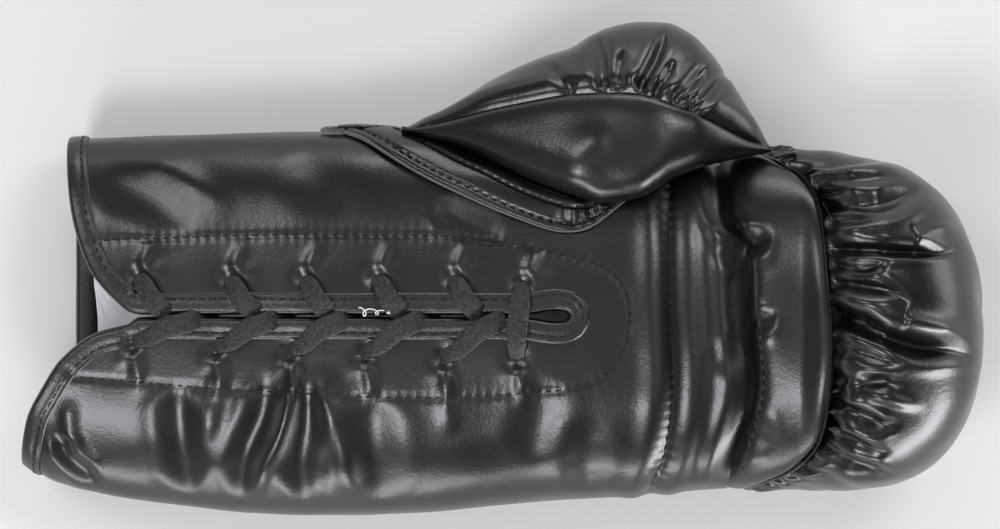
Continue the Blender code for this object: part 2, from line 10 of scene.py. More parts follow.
import bmesh
import bpy
import numpy as np
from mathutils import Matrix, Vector


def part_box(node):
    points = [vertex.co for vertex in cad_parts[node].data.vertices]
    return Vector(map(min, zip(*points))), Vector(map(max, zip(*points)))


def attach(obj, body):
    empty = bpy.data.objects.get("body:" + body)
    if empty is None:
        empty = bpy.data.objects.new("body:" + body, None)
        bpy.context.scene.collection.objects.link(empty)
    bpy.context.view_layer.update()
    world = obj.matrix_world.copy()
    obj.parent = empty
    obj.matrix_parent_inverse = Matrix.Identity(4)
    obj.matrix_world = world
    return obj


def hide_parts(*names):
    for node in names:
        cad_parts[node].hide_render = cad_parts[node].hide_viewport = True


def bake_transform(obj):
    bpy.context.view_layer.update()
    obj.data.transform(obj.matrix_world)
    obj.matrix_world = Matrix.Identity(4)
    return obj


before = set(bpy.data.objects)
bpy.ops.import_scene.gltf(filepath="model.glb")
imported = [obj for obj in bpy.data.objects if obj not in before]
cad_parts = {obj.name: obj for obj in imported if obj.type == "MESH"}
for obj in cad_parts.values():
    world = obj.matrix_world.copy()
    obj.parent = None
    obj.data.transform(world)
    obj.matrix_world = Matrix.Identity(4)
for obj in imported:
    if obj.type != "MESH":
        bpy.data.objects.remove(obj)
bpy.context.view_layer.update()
MM = 0.001

# ---------------------------------------------------------------------------------------- camera
VIEW_WIDTH = 335.0       # how much of the glove's middle height the frame spans
CAMERA_HEIGHT = 1400.0
MIDDLE_HEIGHT = 40.0
CAMERA_X, CAMERA_Y = -0.2, 1.5


def build_camera():
    data = bpy.data.cameras.new("camera")
    data.lens = data.sensor_width * (CAMERA_HEIGHT - MIDDLE_HEIGHT) / VIEW_WIDTH
    data.clip_end = 10
    made = bpy.data.objects.new("camera", data)
    made.location = (CAMERA_X * MM, CAMERA_Y * MM, CAMERA_HEIGHT * MM)
    bpy.context.scene.collection.objects.link(made)
    bpy.context.scene.camera = made


build_camera()

# ------------------------------------------------------------------------------- the glove's form
TIP_X = 160.2
CLOSE_X = 100.0
SQUARENESS = 2.5
ROUNDING = 2.6
SLIT_Y = -15.5
SLIT_HALF = 0.3
SLIT_END_X = 25.5
SLIT_END_R = 1.8
BACK_SEAM_X = 79.0
SIDE_SEAM = math.radians(-10)
BIND_WIDTH = 6.2
LEATHER = 1.3
TAPE = 0.9                # thickness of the binding tape
SHARP_EDGE = math.radians(78)


def curve(*points):
    """A smooth curve through (t, value) points, without overshoot, that takes arrays."""
    ts, vs = np.array(points, float).T
    run = np.diff(ts)
    steep = np.diff(vs) / run
    slopes = np.empty(len(ts))
    slopes[0], slopes[-1] = steep[0], steep[-1]
    product = steep[:-1] * steep[1:]
    total = steep[:-1] + steep[1:]
    safe = np.where(total == 0, 1, total)
    slopes[1:-1] = np.where(product > 0, 2 * product / safe, 0)

    def value(t):
        t = np.clip(t, ts[0], ts[-1])
        k = np.clip(np.searchsorted(ts, t) - 1, 0, len(ts) - 2)
        u = (t - ts[k]) / run[k]
        return ((2 * u**3 - 3 * u**2 + 1) * vs[k] + (u**3 - 2 * u**2 + u) * run[k] * slopes[k]
                + (3 * u**2 - 2 * u**3) * vs[k + 1] + (u**3 - u**2) * run[k] * slopes[k + 1])
    return value


little_side = curve((-162, -65), (-150, -72.2), (-120, -78.4), (-84, -82.4), (-50, -83.1), (0, -79.6),
                    (47, -76), (80, -74.2), (102, -74.4), (165, -74.4))
thumb_side = curve((-162, 42.5), (-146, 43.6), (-114, 45.2), (-60, 46), (0, 44), (50, 40), (80, 38.6),
                   (100, 39.8), (165, 39.8))
top_height = curve((-162, 49), (-120, 52), (-60, 58), (0, 62), (40, 64), (75, 65), (84, 67), (98, 70),
                   (106, 76), (116, 88), (126, 92), (165, 92))
mouth_back = curve((-70, -161.5), (-50, -151), (-32, -146), (20, -146), (45, -146.6))
mouth_thumb = curve((-14.7, -122.5), (-11, -126), (-5.4, -132.5), (1.3, -137.5), (19.8, -143.5),
                    (45, -146.6))
mouth_little = curve((-70, -161.5), (-54, -158.6), (-39, -152.3), (-31.5, -148.2), (-24.8, -142.2),
                     (-19.1, -134.3), (-16.3, -122.5))
valley_x = curve((-74, 76), (-63.7, 77.6), (-51.6, 80.6), (-39.4, 83), (-11, 80.8), (10, 79.6),
                 (15, 76.5), (21.4, 74.5), (40, 73.5))
grip_edge = curve((-74.3, 81), (-71.5, 87), (-65.3, 98), (-57, 103.8), (-47.6, 105.7), (-27, 106.8),
                  (1.3, 105.4), (15.7, 104.2), (24.8, 102.5), (30.5, 99.3), (34.8, 93.5), (37.9, 88.6),
                  (39, 86))


def smoothstep(t):
    t = np.clip(t, 0, 1)
    return t * t * (3 - 2 * t)


def rounding(x, start, end, power=ROUNDING):
    t = np.clip((x - start) / (end - start), 0, 1)
    return (1 - t**power) ** (1 / power)


def section(x):
    """Centre and half sizes of the skin's section at x."""
    lo, hi, top = little_side(x), thumb_side(x), top_height(x)
    k = rounding(x, CLOSE_X, TIP_X)
    lean = 1.8 * smoothstep((x - 108) / 40)
    return (lo + hi) / 2 - lean, top / 2, (hi - lo) / 2 * k, (top + 3.0) / 2 * k


def signed_power(v, power):
    return np.sign(v) * np.abs(v) ** power


def skin(x, a):
    """Points of the glove's smooth skin. Angle 0 is the thumb side, 90 degrees the palm."""
    yc, zc, half_y, half_z = section(x)
    y = yc + half_y * signed_power(np.cos(a), 2 / SQUARENESS)
    z = zc - 0.75 + half_z * signed_power(np.sin(a), 2 / SQUARENESS)
    floor = 0.4
    z = np.where(z < floor + 2, floor + 2 * np.exp((z - floor - 2) / 2), z)
    return np.stack(np.broadcast_arrays(x, y, z), axis=-1)


def angle_at(x, y):
    """Angle at which the palm side of the skin crosses y."""
    yc, _, half_y, _ = section(x)
    return np.arccos(signed_power(np.clip((y - yc) / half_y, -1, 1), SQUARENESS / 2))


def on_palm(x, y, lift=0.0):
    """Points of the finished palm side over (x, y), lifted along the skin's normal."""
    x, y = np.broadcast_arrays(np.asarray(x, float), np.asarray(y, float))
    a = angle_at(x, y)
    p = skin(x, a)
    step = 0.02
    n = np.cross(skin(x + 0.5, a) - skin(x - 0.5, a), skin(x, a + step) - skin(x, a - step))
    n /= np.linalg.norm(n, axis=-1, keepdims=True)
    n *= np.where(n[..., 2:] < 0, -1, 1)
    return p + n * (palm_relief(x, y) + lift)[..., None], n


def mouth_x(a):
    """x at which the glove's mouth starts on the line of angle a."""
    yc, _, half_y, _ = section(-150.0)
    y = yc + half_y * signed_power(np.cos(a), 2 / SQUARENESS)
    top = np.where(y > SLIT_Y, mouth_thumb(y), mouth_little(y))
    return np.where(np.sin(a) < 0, mouth_back(y), top)


# ----------------------------------------------------------------------------- folds and gathers
def spline(points, count=60):
    """Evenly spaced points of a smooth open curve through the given points, in any dimension."""
    p = np.array(points, float)
    p = np.concatenate([[2 * p[0] - p[1]], p, [2 * p[-1] - p[-2]]])
    t = np.linspace(0, 1, 24, endpoint=False)[:, None]
    parts = []
    for a, b, c, d in zip(p, p[1:], p[2:], p[3:]):
        parts.append(0.5 * (2 * b + (c - a) * t + (2 * a - 5 * b + 4 * c - d) * t**2
                            + (3 * b - a - 3 * c + d) * t**3))
    fine = np.concatenate(parts + [p[-2:-1]])
    run = np.concatenate([[0], np.cumsum(np.linalg.norm(np.diff(fine, axis=0), axis=1))])
    at = np.linspace(0, run[-1], count)
    return np.stack([np.interp(at, run, fine[:, k]) for k in range(fine.shape[1])], axis=1)


def nearest(x, y, path):
    """Distance from (x, y) to a path in plan, how far along it that is, and the path's length."""
    best = np.full(np.shape(x), 1e9)
    along = np.zeros(np.shape(x))
    run = 0.0
    for p, q in zip(path, path[1:]):
        d = q - p
        length = math.hypot(*d)
        t = np.clip(((x - p[0]) * d[0] + (y - p[1]) * d[1]) / length**2, 0, 1)
        ox, oy = x - p[0] - t * d[0], y - p[1] - t * d[1]
        away = np.hypot(ox, oy)
        closer = away < best
        best = np.where(closer, away, best)
        along = np.where(closer, run + t * length, along)
        run += length
    return best, along, run


def fold(x, y, points, depth, width, ridge=0.35, fade=(0.12, 0.4), sharp=1.15):
    """Height of a fold along a path: a creased valley between soft ridges, or with depth below 0 a ridge."""
    path = spline(points, 26)
    reach = 7 * width
    lo, hi = path.min(axis=0) - reach, path.max(axis=0) + reach
    near = (x > lo[0]) & (x < hi[0]) & (y > lo[1]) & (y < hi[1])
    out = np.zeros(np.shape(x))
    if not near.any():
        return out
    away, along, run = nearest(x[near], y[near], path)
    share = along / run
    strength = smoothstep(share / fade[0]) * smoothstep((1 - share) / fade[1])
    wide = width * (0.55 + 0.45 * strength)
    if depth < 0:
        out[near] = -depth * strength * np.exp(-(away / width) ** 2)
        return out
    away = np.hypot(away, 0.45 * wide) - 0.45 * wide
    valley = np.exp(-(away / wide) ** sharp)
    beside = np.exp(-((away - 2.3 * wide) / (1.15 * wide)) ** 2)
    out[near] = depth * strength * (ridge * beside - valley)
    return out


def waves(x, y, size, seed, count=7):
    """Gentle unevenness of that wavelength, from -1 to 1, the same each run."""
    draw = np.random.default_rng(seed)
    total = np.zeros(np.shape(x))
    for _ in range(count):
        heading, phase = draw.uniform(0, 2 * math.pi, 2)
        k = 2 * math.pi / (size * draw.uniform(0.7, 1.5))
        total += np.sin(k * (x * math.cos(heading) + y * math.sin(heading)) + phase)
    return total / count


LACE_THUMB = [(-120.8, -2.6), (-90.3, -3.2), (-65.2, -3.4), (-41.4, -3.0), (-16.2, -3.2), (6.9, -4.6)]
LACE_LITTLE = [(-122.4, -24.4), (-94.6, -26.2), (-69.9, -27.1), (-45.1, -27.6), (-19.3, -29.2),
               (5.2, -29.4)]
FACING_LINE = [(-136, 9.5), (-100.7, 10.7), (-67.2, 11.4), (-23.6, 11.0), (1.2, 9), (17.9, 5.4),
               (34, 0.4), (40.5, -6), (42.7, -15.7), (40.8, -26), (34.5, -34.8), (19.9, -39.9),
               (-0.2, -41.5), (-33.7, -42.5), (-67.2, -41.2), (-101, -39.2), (-145.5, -35.5)]
PALM_SEAM = [(56.3, 34), (55.4, 11), (55.8, -15), (56.7, -39), (54.5, -60), (50.2, -74)]
STITCH = 3.3


def seam_groove(x, y, path, depth, width, pucker=0.25):
    """A sewn line: a groove that the stitches pull in, with small puckers beside it."""
    away, along, _ = nearest(x, y, path)
    pull = 1 + pucker * np.cos(2 * math.pi * along / STITCH)
    pinch = 0.07 * np.cos(2 * math.pi * along / STITCH) * np.exp(-(away / 3.2) ** 2)
    return -depth * pull * np.exp(-(away / width) ** 1.6) - pinch


def hole_pucker(x, y, hole, streaks):
    """The dimple of a punched hole under the pull of the lace, and the tension folds that leave it."""
    away = np.hypot(x - hole[0], y - hole[1])
    out = -1.5 * np.exp(-(away / 3.0) ** 2)
    for heading, length, height in streaks:
        c, s = math.cos(math.radians(heading)), math.sin(math.radians(heading))
        start = np.array([hole[0] + 2.5 * c, hole[1] + 2.5 * s])
        end = start + length * np.array([c, s])
        bend = np.array([-s, c]) * length * 0.08
        out += fold(x, y, [start, (start + end) / 2 + bend, end], height, 2.0, 0.8, (0.15, 0.7))
    return out


CUFF_FOLDS = [
    # points, depth (negative for a raised fold), width
    ([(-69.9, -31), (-69.2, -43.3), (-73, -55.5), (-79, -67.7), (-80.5, -79)], -1.5, 3.0),
    ([(-59.2, -31), (-57.8, -42), (-52.5, -58.5), (-49.4, -79)], -1.6, 4.6),
    ([(-77.5, -33), (-79, -47), (-85, -62), (-88, -80)], 1.3, 2.6),
    ([(-64.3, -36), (-64, -50), (-66.5, -66), (-64, -81)], 1.2, 2.6),
    ([(-42, -40), (-42, -56), (-38, -80)], 1.0, 4.0),
    ([(-106.5, -37), (-107, -52), (-103.4, -78)], 1.4, 3.2),
    ([(-96, -33), (-95, -44), (-97, -58)], -0.7, 3.2),
    ([(-144, -42), (-143.6, -55), (-141, -70)], -0.9, 2.8),
    ([(-149, -54), (-143, -64), (-134, -73)], 1.6, 1.8),
    ([(-19, -33), (-18.5, -42), (-16, -56)], -0.6, 2.8),
    ([(12, -34), (13, -46), (9, -66)], 0.7, 4.0),
    ([(31, -48), (28, -60), (30, -76)], 0.8, 3.6),
    ([(-136, 30), (-118, 23), (-100, 12)], 0.7, 4.0),
    ([(-122, 38), (-104, 30), (-88, 16)], -0.7, 4.5),
    ([(-72, 40), (-60, 30), (-50, 16)], 0.5, 5.0),
    ([(-24, 22), (-10, 15), (4, 10)], 0.8, 2.6),
]


GRIP_FOLDS = [
    ([(80, 8), (84.5, 9.5), (90, 13)], 1.7, 2.2),
    ([(82, -18), (86.5, -17.0), (92, -14)], 1.9, 1.9),
    ([(81, -54), (86, -55), (92, -58)], 0.9, 2.8),
    ([(79, 4), (72, 7), (66, 8)], 0.9, 2.4),
    ([(79, -28), (72, -30), (66, -33)], 0.8, 2.8),
]


def palm_relief(x, y):
    """Height of the finished leather over the smooth skin on the palm side."""
    x, y = np.broadcast_arrays(np.asarray(x, float), np.asarray(y, float))
    out = 0.5 * waves(x, y, 42, 3) + 0.05 * waves(x, y, 12, 4)
    for points, depth, width in CUFF_FOLDS:
        out += fold(x, y, points, depth, width, 0.45, (0.25, 0.3), 1.4)
    facing = spline(FACING_LINE, 120)
    out += seam_groove(x, y, facing, 0.42, 0.8)
    for hole in LACE_THUMB:
        out += hole_pucker(x, y, hole, ((60, 13, -0.8), (15, 10, -0.4)))
    for hole in LACE_LITTLE:
        out += hole_pucker(x, y, hole, ((-86, 17, -1.1), (-125, 9, -0.4)))
    seam = spline(PALM_SEAM, 50)
    out += seam_groove(x, y, seam, 1.25, 1.8, 0.10)
    away, _, _ = nearest(x, y, seam)
    out += 1.0 * np.exp(-((away - 6.5) / 3.8) ** 2)
    return out + grip_relief(x, y)


def grip_relief(x, y):
    """The crease that the grip folds at, and the pillow of the grip panel between its two seams."""
    crease = x - valley_x(y)
    edge = grip_edge(y) - x
    deep = 4.2 + 0.35 * np.sin(y * 0.17)
    hand = np.where(crease < 0, -deep * np.exp(-(np.abs(crease) / 3.0) ** 1.3), 0)
    grip = np.where(crease >= 0, -deep * np.exp(-(np.abs(crease) / 2.2) ** 1.1), 0)
    inside = np.clip(crease / np.maximum(crease + edge, 1e-3), 0, 1)
    pillow = np.where((crease > 0) & (edge > 0), 1.5 * np.sin(math.pi * inside) ** 0.6, 0)
    ridge = 0.9 * np.exp(-((crease + 8.5) / 3.0) ** 2)
    middle = smoothstep((y + 76) / 10) * smoothstep((44 - y) / 8)
    tuck = np.where(edge > 0, -1.6 * np.exp(-np.maximum(edge, 0) / 1.2), 0) * (crease > 0)
    folds = 0
    for points, depth, width in GRIP_FOLDS:
        folds = folds + fold(x, y, points, 0.75 * depth, width, 0.5, (0.05, 0.6), 1.3)
    return (hand + grip + pillow + ridge + tuck + folds) * middle


# --------------------------------------------------------------------------------------- meshes
def normals_of(p, ring=False):
    """Unit normals of a grid of points, pointing the way its rows and columns turn."""
    if ring:
        wide = np.concatenate([p[:, -1:], p, p[:, :1]], axis=1)
        across = (wide[:, 2:] - wide[:, :-2])
    else:
        across = np.gradient(p, axis=1)
    n = np.cross(np.gradient(p, axis=0), across)
    return n / np.maximum(np.linalg.norm(n, axis=-1, keepdims=True), 1e-9)


def link(name, points, faces, look):
    """Writes millimetre points as an object."""
    mesh = bpy.data.meshes.new(name)
    mesh.from_pydata((np.asarray(points) * MM).tolist(), [], faces)
    mesh.materials.append(look)
    mesh.shade_smooth()
    mesh.set_sharp_from_angle(angle=SHARP_EDGE)
    mesh.update()
    made = bpy.data.objects.new(name, mesh)
    bpy.context.scene.collection.objects.link(made)
    return made


def plate(name, p, look, thick=LEATHER, ring=False, middle=None):
    """A sheet over a grid of outer points, closed at that thickness on the side of its middle."""
    rows, cols = p.shape[:2]
    n = normals_of(p, ring)
    middle = p.mean(axis=(0, 1)) if middle is None else middle
    flip = np.median(np.sum(n * (p - middle), axis=-1)) < 0
    if flip:
        n = -n
    if ring:
        n[-1] = n[-3].mean(axis=0) / np.linalg.norm(n[-3].mean(axis=0))
    inner = p - n * thick
    points = np.concatenate([p.reshape(-1, 3), inner.reshape(-1, 3)])
    index = np.arange(rows * cols).reshape(rows, cols)
    nxt = np.roll(index, -1, axis=1) if ring else index[:, 1:]
    here = index if ring else index[:, :-1]
    quads = np.stack([here[:-1], here[1:], nxt[1:], nxt[:-1]], axis=-1).reshape(-1, 4)
    if flip:
        quads = quads[:, ::-1]
    under = quads[:, ::-1] + rows * cols
    if ring:
        loops = [np.append(index[0], index[0][0]), np.append(index[-1], index[-1][0])[::-1]]
    else:
        loops = [np.concatenate([index[0], index[1:, -1], index[-1, ::-1][1:], index[::-1, 0][1:]])]
    rims = []
    for loop in loops:
        for s, t in zip(loop, loop[1:]):
            face = [s, t, t + rows * cols, s + rows * cols]
            rims.append(face[::-1] if flip else face)
    faces = quads.tolist() + under.tolist() + [[int(v) for v in f] for f in rims]
    return link(name, points, faces, look)


def weld(made):
    """Joins the points of a pole that fell together, so that the body stays closed."""
    bm = bmesh.new()
    bm.from_mesh(made.data)
    bmesh.ops.remove_doubles(bm, verts=bm.verts, dist=1e-5)
    bm.to_mesh(made.data)
    bm.free()
    made.data.shade_smooth()
    made.data.set_sharp_from_angle(angle=SHARP_EDGE)
    return made


# ------------------------------------------------------------------------------------- materials
def new_material(name):
    """A material with its shader and coordinates, and functions that add and join nodes."""
    look = bpy.data.materials.new(name)
    look.use_nodes = True
    nodes, links = look.node_tree.nodes, look.node_tree.links
    shader = nodes["Principled BSDF"]
    place = nodes.new("ShaderNodeTexCoord")

    def add(kind, **values):
        node = nodes.new(kind)
        for key, value in values.items():
            if key in node.inputs:
                node.inputs[key].default_value = value
            else:
                setattr(node, key, value)
        return node

    def join(a, out, b, into):
        links.new(a.outputs[out], b.inputs[into])
    return look, shader, place, add, join


def leather_look(name, colour, rough, grain=0.10, wrinkle=0.035, streak=0.07):
    """Coated leather: satin gloss, fine pebble grain, soft wrinkles and faintly rubbed patches."""
    look, shader, place, add, join = new_material(name)
    shader.inputs["Base Color"].default_value = (*colour, 1)
    shader.inputs["Specular IOR Level"].default_value = 0.55
    shader.inputs["Coat Weight"].default_value = 0.10
    shader.inputs["Coat Roughness"].default_value = 0.22
    patch = add("ShaderNodeTexNoise", Scale=38.0, Detail=4.0)
    ramp = add("ShaderNodeMapRange")
    ramp.inputs["To Min"].default_value = rough - streak / 2
    ramp.inputs["To Max"].default_value = rough + streak
    cells = add("ShaderNodeTexVoronoi", Scale=1150.0)
    cells.feature = "SMOOTH_F1"
    fine = add("ShaderNodeTexNoise", Scale=520.0, Detail=3.0)
    soft = add("ShaderNodeTexNoise", Scale=95.0, Detail=5.0, Distortion=0.6)
    for node in (patch, cells, fine, soft):
        join(place, "Object", node, "Vector")
    join(patch, "Fac", ramp, "Value")
    join(ramp, "Result", shader, "Roughness")
    low = add("ShaderNodeBump", Strength=wrinkle, Distance=0.0012)
    mid = add("ShaderNodeBump", Strength=grain, Distance=0.0004)
    high = add("ShaderNodeBump", Strength=grain, Distance=0.0003)
    join(soft, "Fac", low, "Height")
    join(fine, "Fac", mid, "Height")
    join(cells, "Distance", high, "Height")
    join(low, "Normal", mid, "Normal")
    join(mid, "Normal", high, "Normal")
    join(high, "Normal", shader, "Normal")
    join(high, "Normal", shader, "Coat Normal")
    return look


def thread_look(name, colour, rough=0.55):
    look, shader, place, add, join = new_material(name)
    tint = add("ShaderNodeTexNoise", Scale=900.0, Detail=2.0)
    ramp = add("ShaderNodeValToRGB")
    ramp.color_ramp.elements[0].color = (*[c * 0.6 for c in colour], 1)
    ramp.color_ramp.elements[1].color = (*[min(c * 1.9, 1) for c in colour], 1)
    bump = add("ShaderNodeBump", Strength=0.5, Distance=0.0002)
    join(place, "Object", tint, "Vector")
    join(tint, "Fac", ramp, "Fac")
    join(ramp, "Color", shader, "Base Color")
    join(tint, "Fac", bump, "Height")
    join(bump, "Normal", shader, "Normal")
    shader.inputs["Roughness"].default_value = rough
    shader.inputs["Specular IOR Level"].default_value = 0.35
    return look


def lace_look():
    """Charcoal knitted braid with a painted highlight: the base colour is lighter on each small knit bump's
    crown and darker, as painted shade, between the bumps.
    """
    look, shader, place, add, join = new_material("lace_braid")
    cells = add("ShaderNodeTexVoronoi", Scale=760.0)
    fuzz = add("ShaderNodeTexNoise", Scale=1500.0, Detail=3.0)
    ramp = add("ShaderNodeValToRGB")
    # painted highlight and shade: the base colour runs from lighter on the knit crowns to darker in the dips
    # between them
    ramp.color_ramp.elements[0].color = (0.026, 0.026, 0.029, 1)
    ramp.color_ramp.elements[1].color = (0.003, 0.003, 0.0035, 1)
    ramp.color_ramp.elements[0].position = 0.1
    ramp.color_ramp.elements[1].position = 0.7
    bump = add("ShaderNodeBump", Strength=0.8, Distance=0.0004)
    bump.invert = True
    more = add("ShaderNodeBump", Strength=0.4, Distance=0.0002)
    for node in (cells, fuzz):
        join(place, "Object", node, "Vector")
    join(cells, "Distance", ramp, "Fac")
    join(ramp, "Color", shader, "Base Color")
    join(cells, "Distance", bump, "Height")
    join(fuzz, "Fac", more, "Height")
    join(bump, "Normal", more, "Normal")
    join(more, "Normal", shader, "Normal")
    shader.inputs["Roughness"].default_value = 0.6
    shader.inputs["Sheen Weight"].default_value = 0.12
    shader.inputs["Sheen Roughness"].default_value = 0.45
    return look


def satin_look():
    """White satin lining with a fine twill and soft creases."""
    look, shader, place, add, join = new_material("satin_lining")
    tint = add("ShaderNodeTexNoise", Scale=60.0, Detail=4.0)
    ramp = add("ShaderNodeValToRGB")
    ramp.color_ramp.elements[0].color = (0.70, 0.71, 0.74, 1)
    ramp.color_ramp.elements[1].color = (0.88, 0.88, 0.90, 1)
    twill = add("ShaderNodeTexWave", Scale=900.0, Distortion=1.5)
    twill.bands_direction = "DIAGONAL"
    crease = add("ShaderNodeTexNoise", Scale=110.0, Detail=5.0, Distortion=1.2)
    low = add("ShaderNodeBump", Strength=0.5, Distance=0.002)
    high = add("ShaderNodeBump", Strength=0.15, Distance=0.0002)
    for node in (tint, twill, crease):
        join(place, "Object", node, "Vector")
    join(tint, "Fac", ramp, "Fac")
    join(ramp, "Color", shader, "Base Color")
    join(crease, "Fac", low, "Height")
    join(twill, "Fac", high, "Height")
    join(low, "Normal", high, "Normal")
    join(high, "Normal", shader, "Normal")
    shader.inputs["Roughness"].default_value = 0.42
    shader.inputs["Sheen Weight"].default_value = 0.2
    return look


BLACK = (0.0022, 0.0022, 0.0026)
HIDE = leather_look("glove_leather", BLACK, 0.30)
GATHERED = leather_look("gathered_leather", BLACK, 0.26, wrinkle=0.03)
BOUND = leather_look("binding_leather", (0.0040, 0.0040, 0.0045), 0.34, grain=0.22)
RAW_EDGE = leather_look("raw_edge", (0.12, 0.12, 0.125), 0.8, grain=0.4)
THREAD = thread_look("thread", (0.004, 0.004, 0.0045))
LACE = lace_look()
SATIN = satin_look()

# ------------------------------------------------------------------------- how the pieces move
HAND, THUMB, FIST = "hand", "thumb", "fist"
FLAP = {1: "flap_thumb_side", -1: "flap_little_side"}


def flap_reach(side):
    """The line from the slit's end, 38 mm long and square to that flap's hinge."""
    start = Vector((8, SLIT_Y, 62))
    hinge = Vector((-150, 38 if side > 0 else -66, 0)) - Vector((8, SLIT_Y, 0))
    across = Vector((hinge.y, -hinge.x, 0)).normalized()
    if across.y * side > 0:
        across.negate()
    return start * MM, (start + across * 38) * MM


def swing(made, body):
    """Ties a piece to the empty of its body; pieces of a flap, the grip or the root only get their transform
    baked.
    """
    if body in (1, -1):
        start, end = flap_reach(body)
        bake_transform(made)
    elif body == "grip":
        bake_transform(made)
    elif body == "root":
        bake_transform(made)
    else:
        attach(made, body)
    return made


# --------------------------------------------------------------------------------- leather panels
seam_x = curve((-78, 49.6), (-74, 50.2), (-60, 54.5), (-39, 56.7), (-15, 55.8), (11, 55.4), (34, 56.3),
               (44, 56.5))
wall_palm = curve((-162, 5.0), (-100, 7), (0, 8), (80, 13), (165, 14))
wall_back = curve((-162, 5.0), (-100, 8), (0, 15), (80, 18), (165, 20))


def slit_half(x, edge):
    """Half of the slit's open width at x, closing in a round end."""
    t = np.clip((x - (SLIT_END_X - edge)) / edge, 0, 1)
    return np.where(x < SLIT_END_X, edge * np.sqrt(1 - t**2), 0.0)


def side_waves(x, a):
    """Soft unevenness of the walls and back."""
    return 0.7 * waves(x, a * 55, 48, 11) + 0.25 * waves(x, a * 55, 17, 12)


def cover_relief(x, a):
    """Leather's height over the smooth skin anywhere between the mouth and the grip."""
    p = skin(x, a)
    top = smoothstep(np.sin(a) / 0.22 + 0.3)
    palm = palm_relief(x, p[..., 1])
    return palm * top + side_waves(x, a) * (1 - 0.6 * top)


def raise_skin(x, a, relief):
    """Points of the skin raised by the relief along their normals."""
    p = skin(x, a)
    step = 0.02
    n = np.cross(skin(x, a + step) - skin(x, a - step), skin(x + 0.5, a) - skin(x - 0.5, a))
    n = -n / np.maximum(np.linalg.norm(n, axis=-1, keepdims=True), 1e-9)
    axis = np.stack(np.broadcast_arrays(x, np.full_like(p[..., 1], -18.0), np.full_like(p[..., 1], 32.0)), -1)
    n *= np.where(np.sum(n * (p - axis), axis=-1, keepdims=True) < 0, -1, 1)
    out = p + n * relief[..., None]
    out[..., 2] = np.maximum(out[..., 2], 0.25)
    return out, n


def palm_grid(side, edge, x_end=None, rows=190, cols=84, start_gap=1.4):
    """Grid of (x, angle) over one half of the palm side, from its side seam to the slit."""
    outer = SIDE_SEAM if side > 0 else math.pi - SIDE_SEAM
    v = np.linspace(0, 1, cols)[None, :]
    u = np.linspace(0, 1, rows)[:, None]

    def angle(x):
        near = angle_at(x, SLIT_Y + side * slit_half(x, edge))
        return outer + (near - outer) * v

    first = mouth_x(angle(-136.0)) + start_gap
    last = np.full_like(first, 56.0)
    for _ in range(3):
        last = seam_x(skin(last, angle(last))[..., 1]) if x_end is None else last * 0 + x_end
    x = first + (last - first) * u
    return x, angle(x)


def panel(name, x, a, relief, body):
    """A leather panel over a grid of (x, angle), handed to swing() with its body."""
    p, _ = raise_skin(x, a, relief(x, a))
    return swing(plate(name, p, HIDE), body)


def build_covers():
    """The palm's two halves, the strip across it, the grip panel and the back."""
    for side, word in ((1, "thumb_side"), (-1, "little_side")):
        x, a = palm_grid(side, 2.3)
        made = panel(f"palm_leather_{word}", x, a, cover_relief, side)
        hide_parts(f"flap_cover_{word}", f"flap_foam_{word}", f"lace_facing_{word}")
        if side < 0:
            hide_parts("palm_cover", "palm_foam")
    v = np.linspace(0, 1, 150)[None, :]
    u = np.linspace(0, 1, 40)[:, None]
    a = SIDE_SEAM + (math.pi - 2 * SIDE_SEAM) * v
    first = np.full_like(a, 56.0)
    last = np.full_like(a, 80.0)
    for _ in range(3):
        first = seam_x(skin(first, a)[..., 1])
        last = valley_x(skin(last, a)[..., 1])
    x = first + 0.1 + (last - first - 0.1) * u
    made = panel("palm_seam_strip", x, a + x * 0, cover_relief, "grip")
    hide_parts("palm_seam_panel")
    angles = np.linspace(math.radians(8), math.radians(172), 150)[None, :]
    first, last = np.full_like(angles, 80.0), np.full_like(angles, 103.0)
    for _ in range(4):
        first = valley_x(skin(first, angles)[..., 1])
        last = np.maximum(grip_edge(skin(last, angles)[..., 1]), first + 3)
    x = first + (last + 1.0 - first) * np.linspace(0, 1, 46)[:, None]
    made = panel("grip_panel_leather", x, angles + x * 0, cover_relief, "grip")
    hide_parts("grip_panel", "grip_bar")
    a = (math.pi - SIDE_SEAM) + (math.pi + 2 * SIDE_SEAM) * v
    start = mouth_x(a) + 1.4
    x = start + (BACK_SEAM_X - start) * np.linspace(0, 1, 150)[:, None]

    def back_relief(x, a):
        fade = smoothstep(-np.sin(a) / 0.3)
        out = side_waves(x, a) * (1 - 0.5 * fade)
        seam = np.exp(-np.abs(x - BACK_SEAM_X) / 1.6)
        return out - 1.5 * seam
    made = panel("back_leather", x, a + x * 0, back_relief, "grip")
    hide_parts("back_cover", "back_foam")


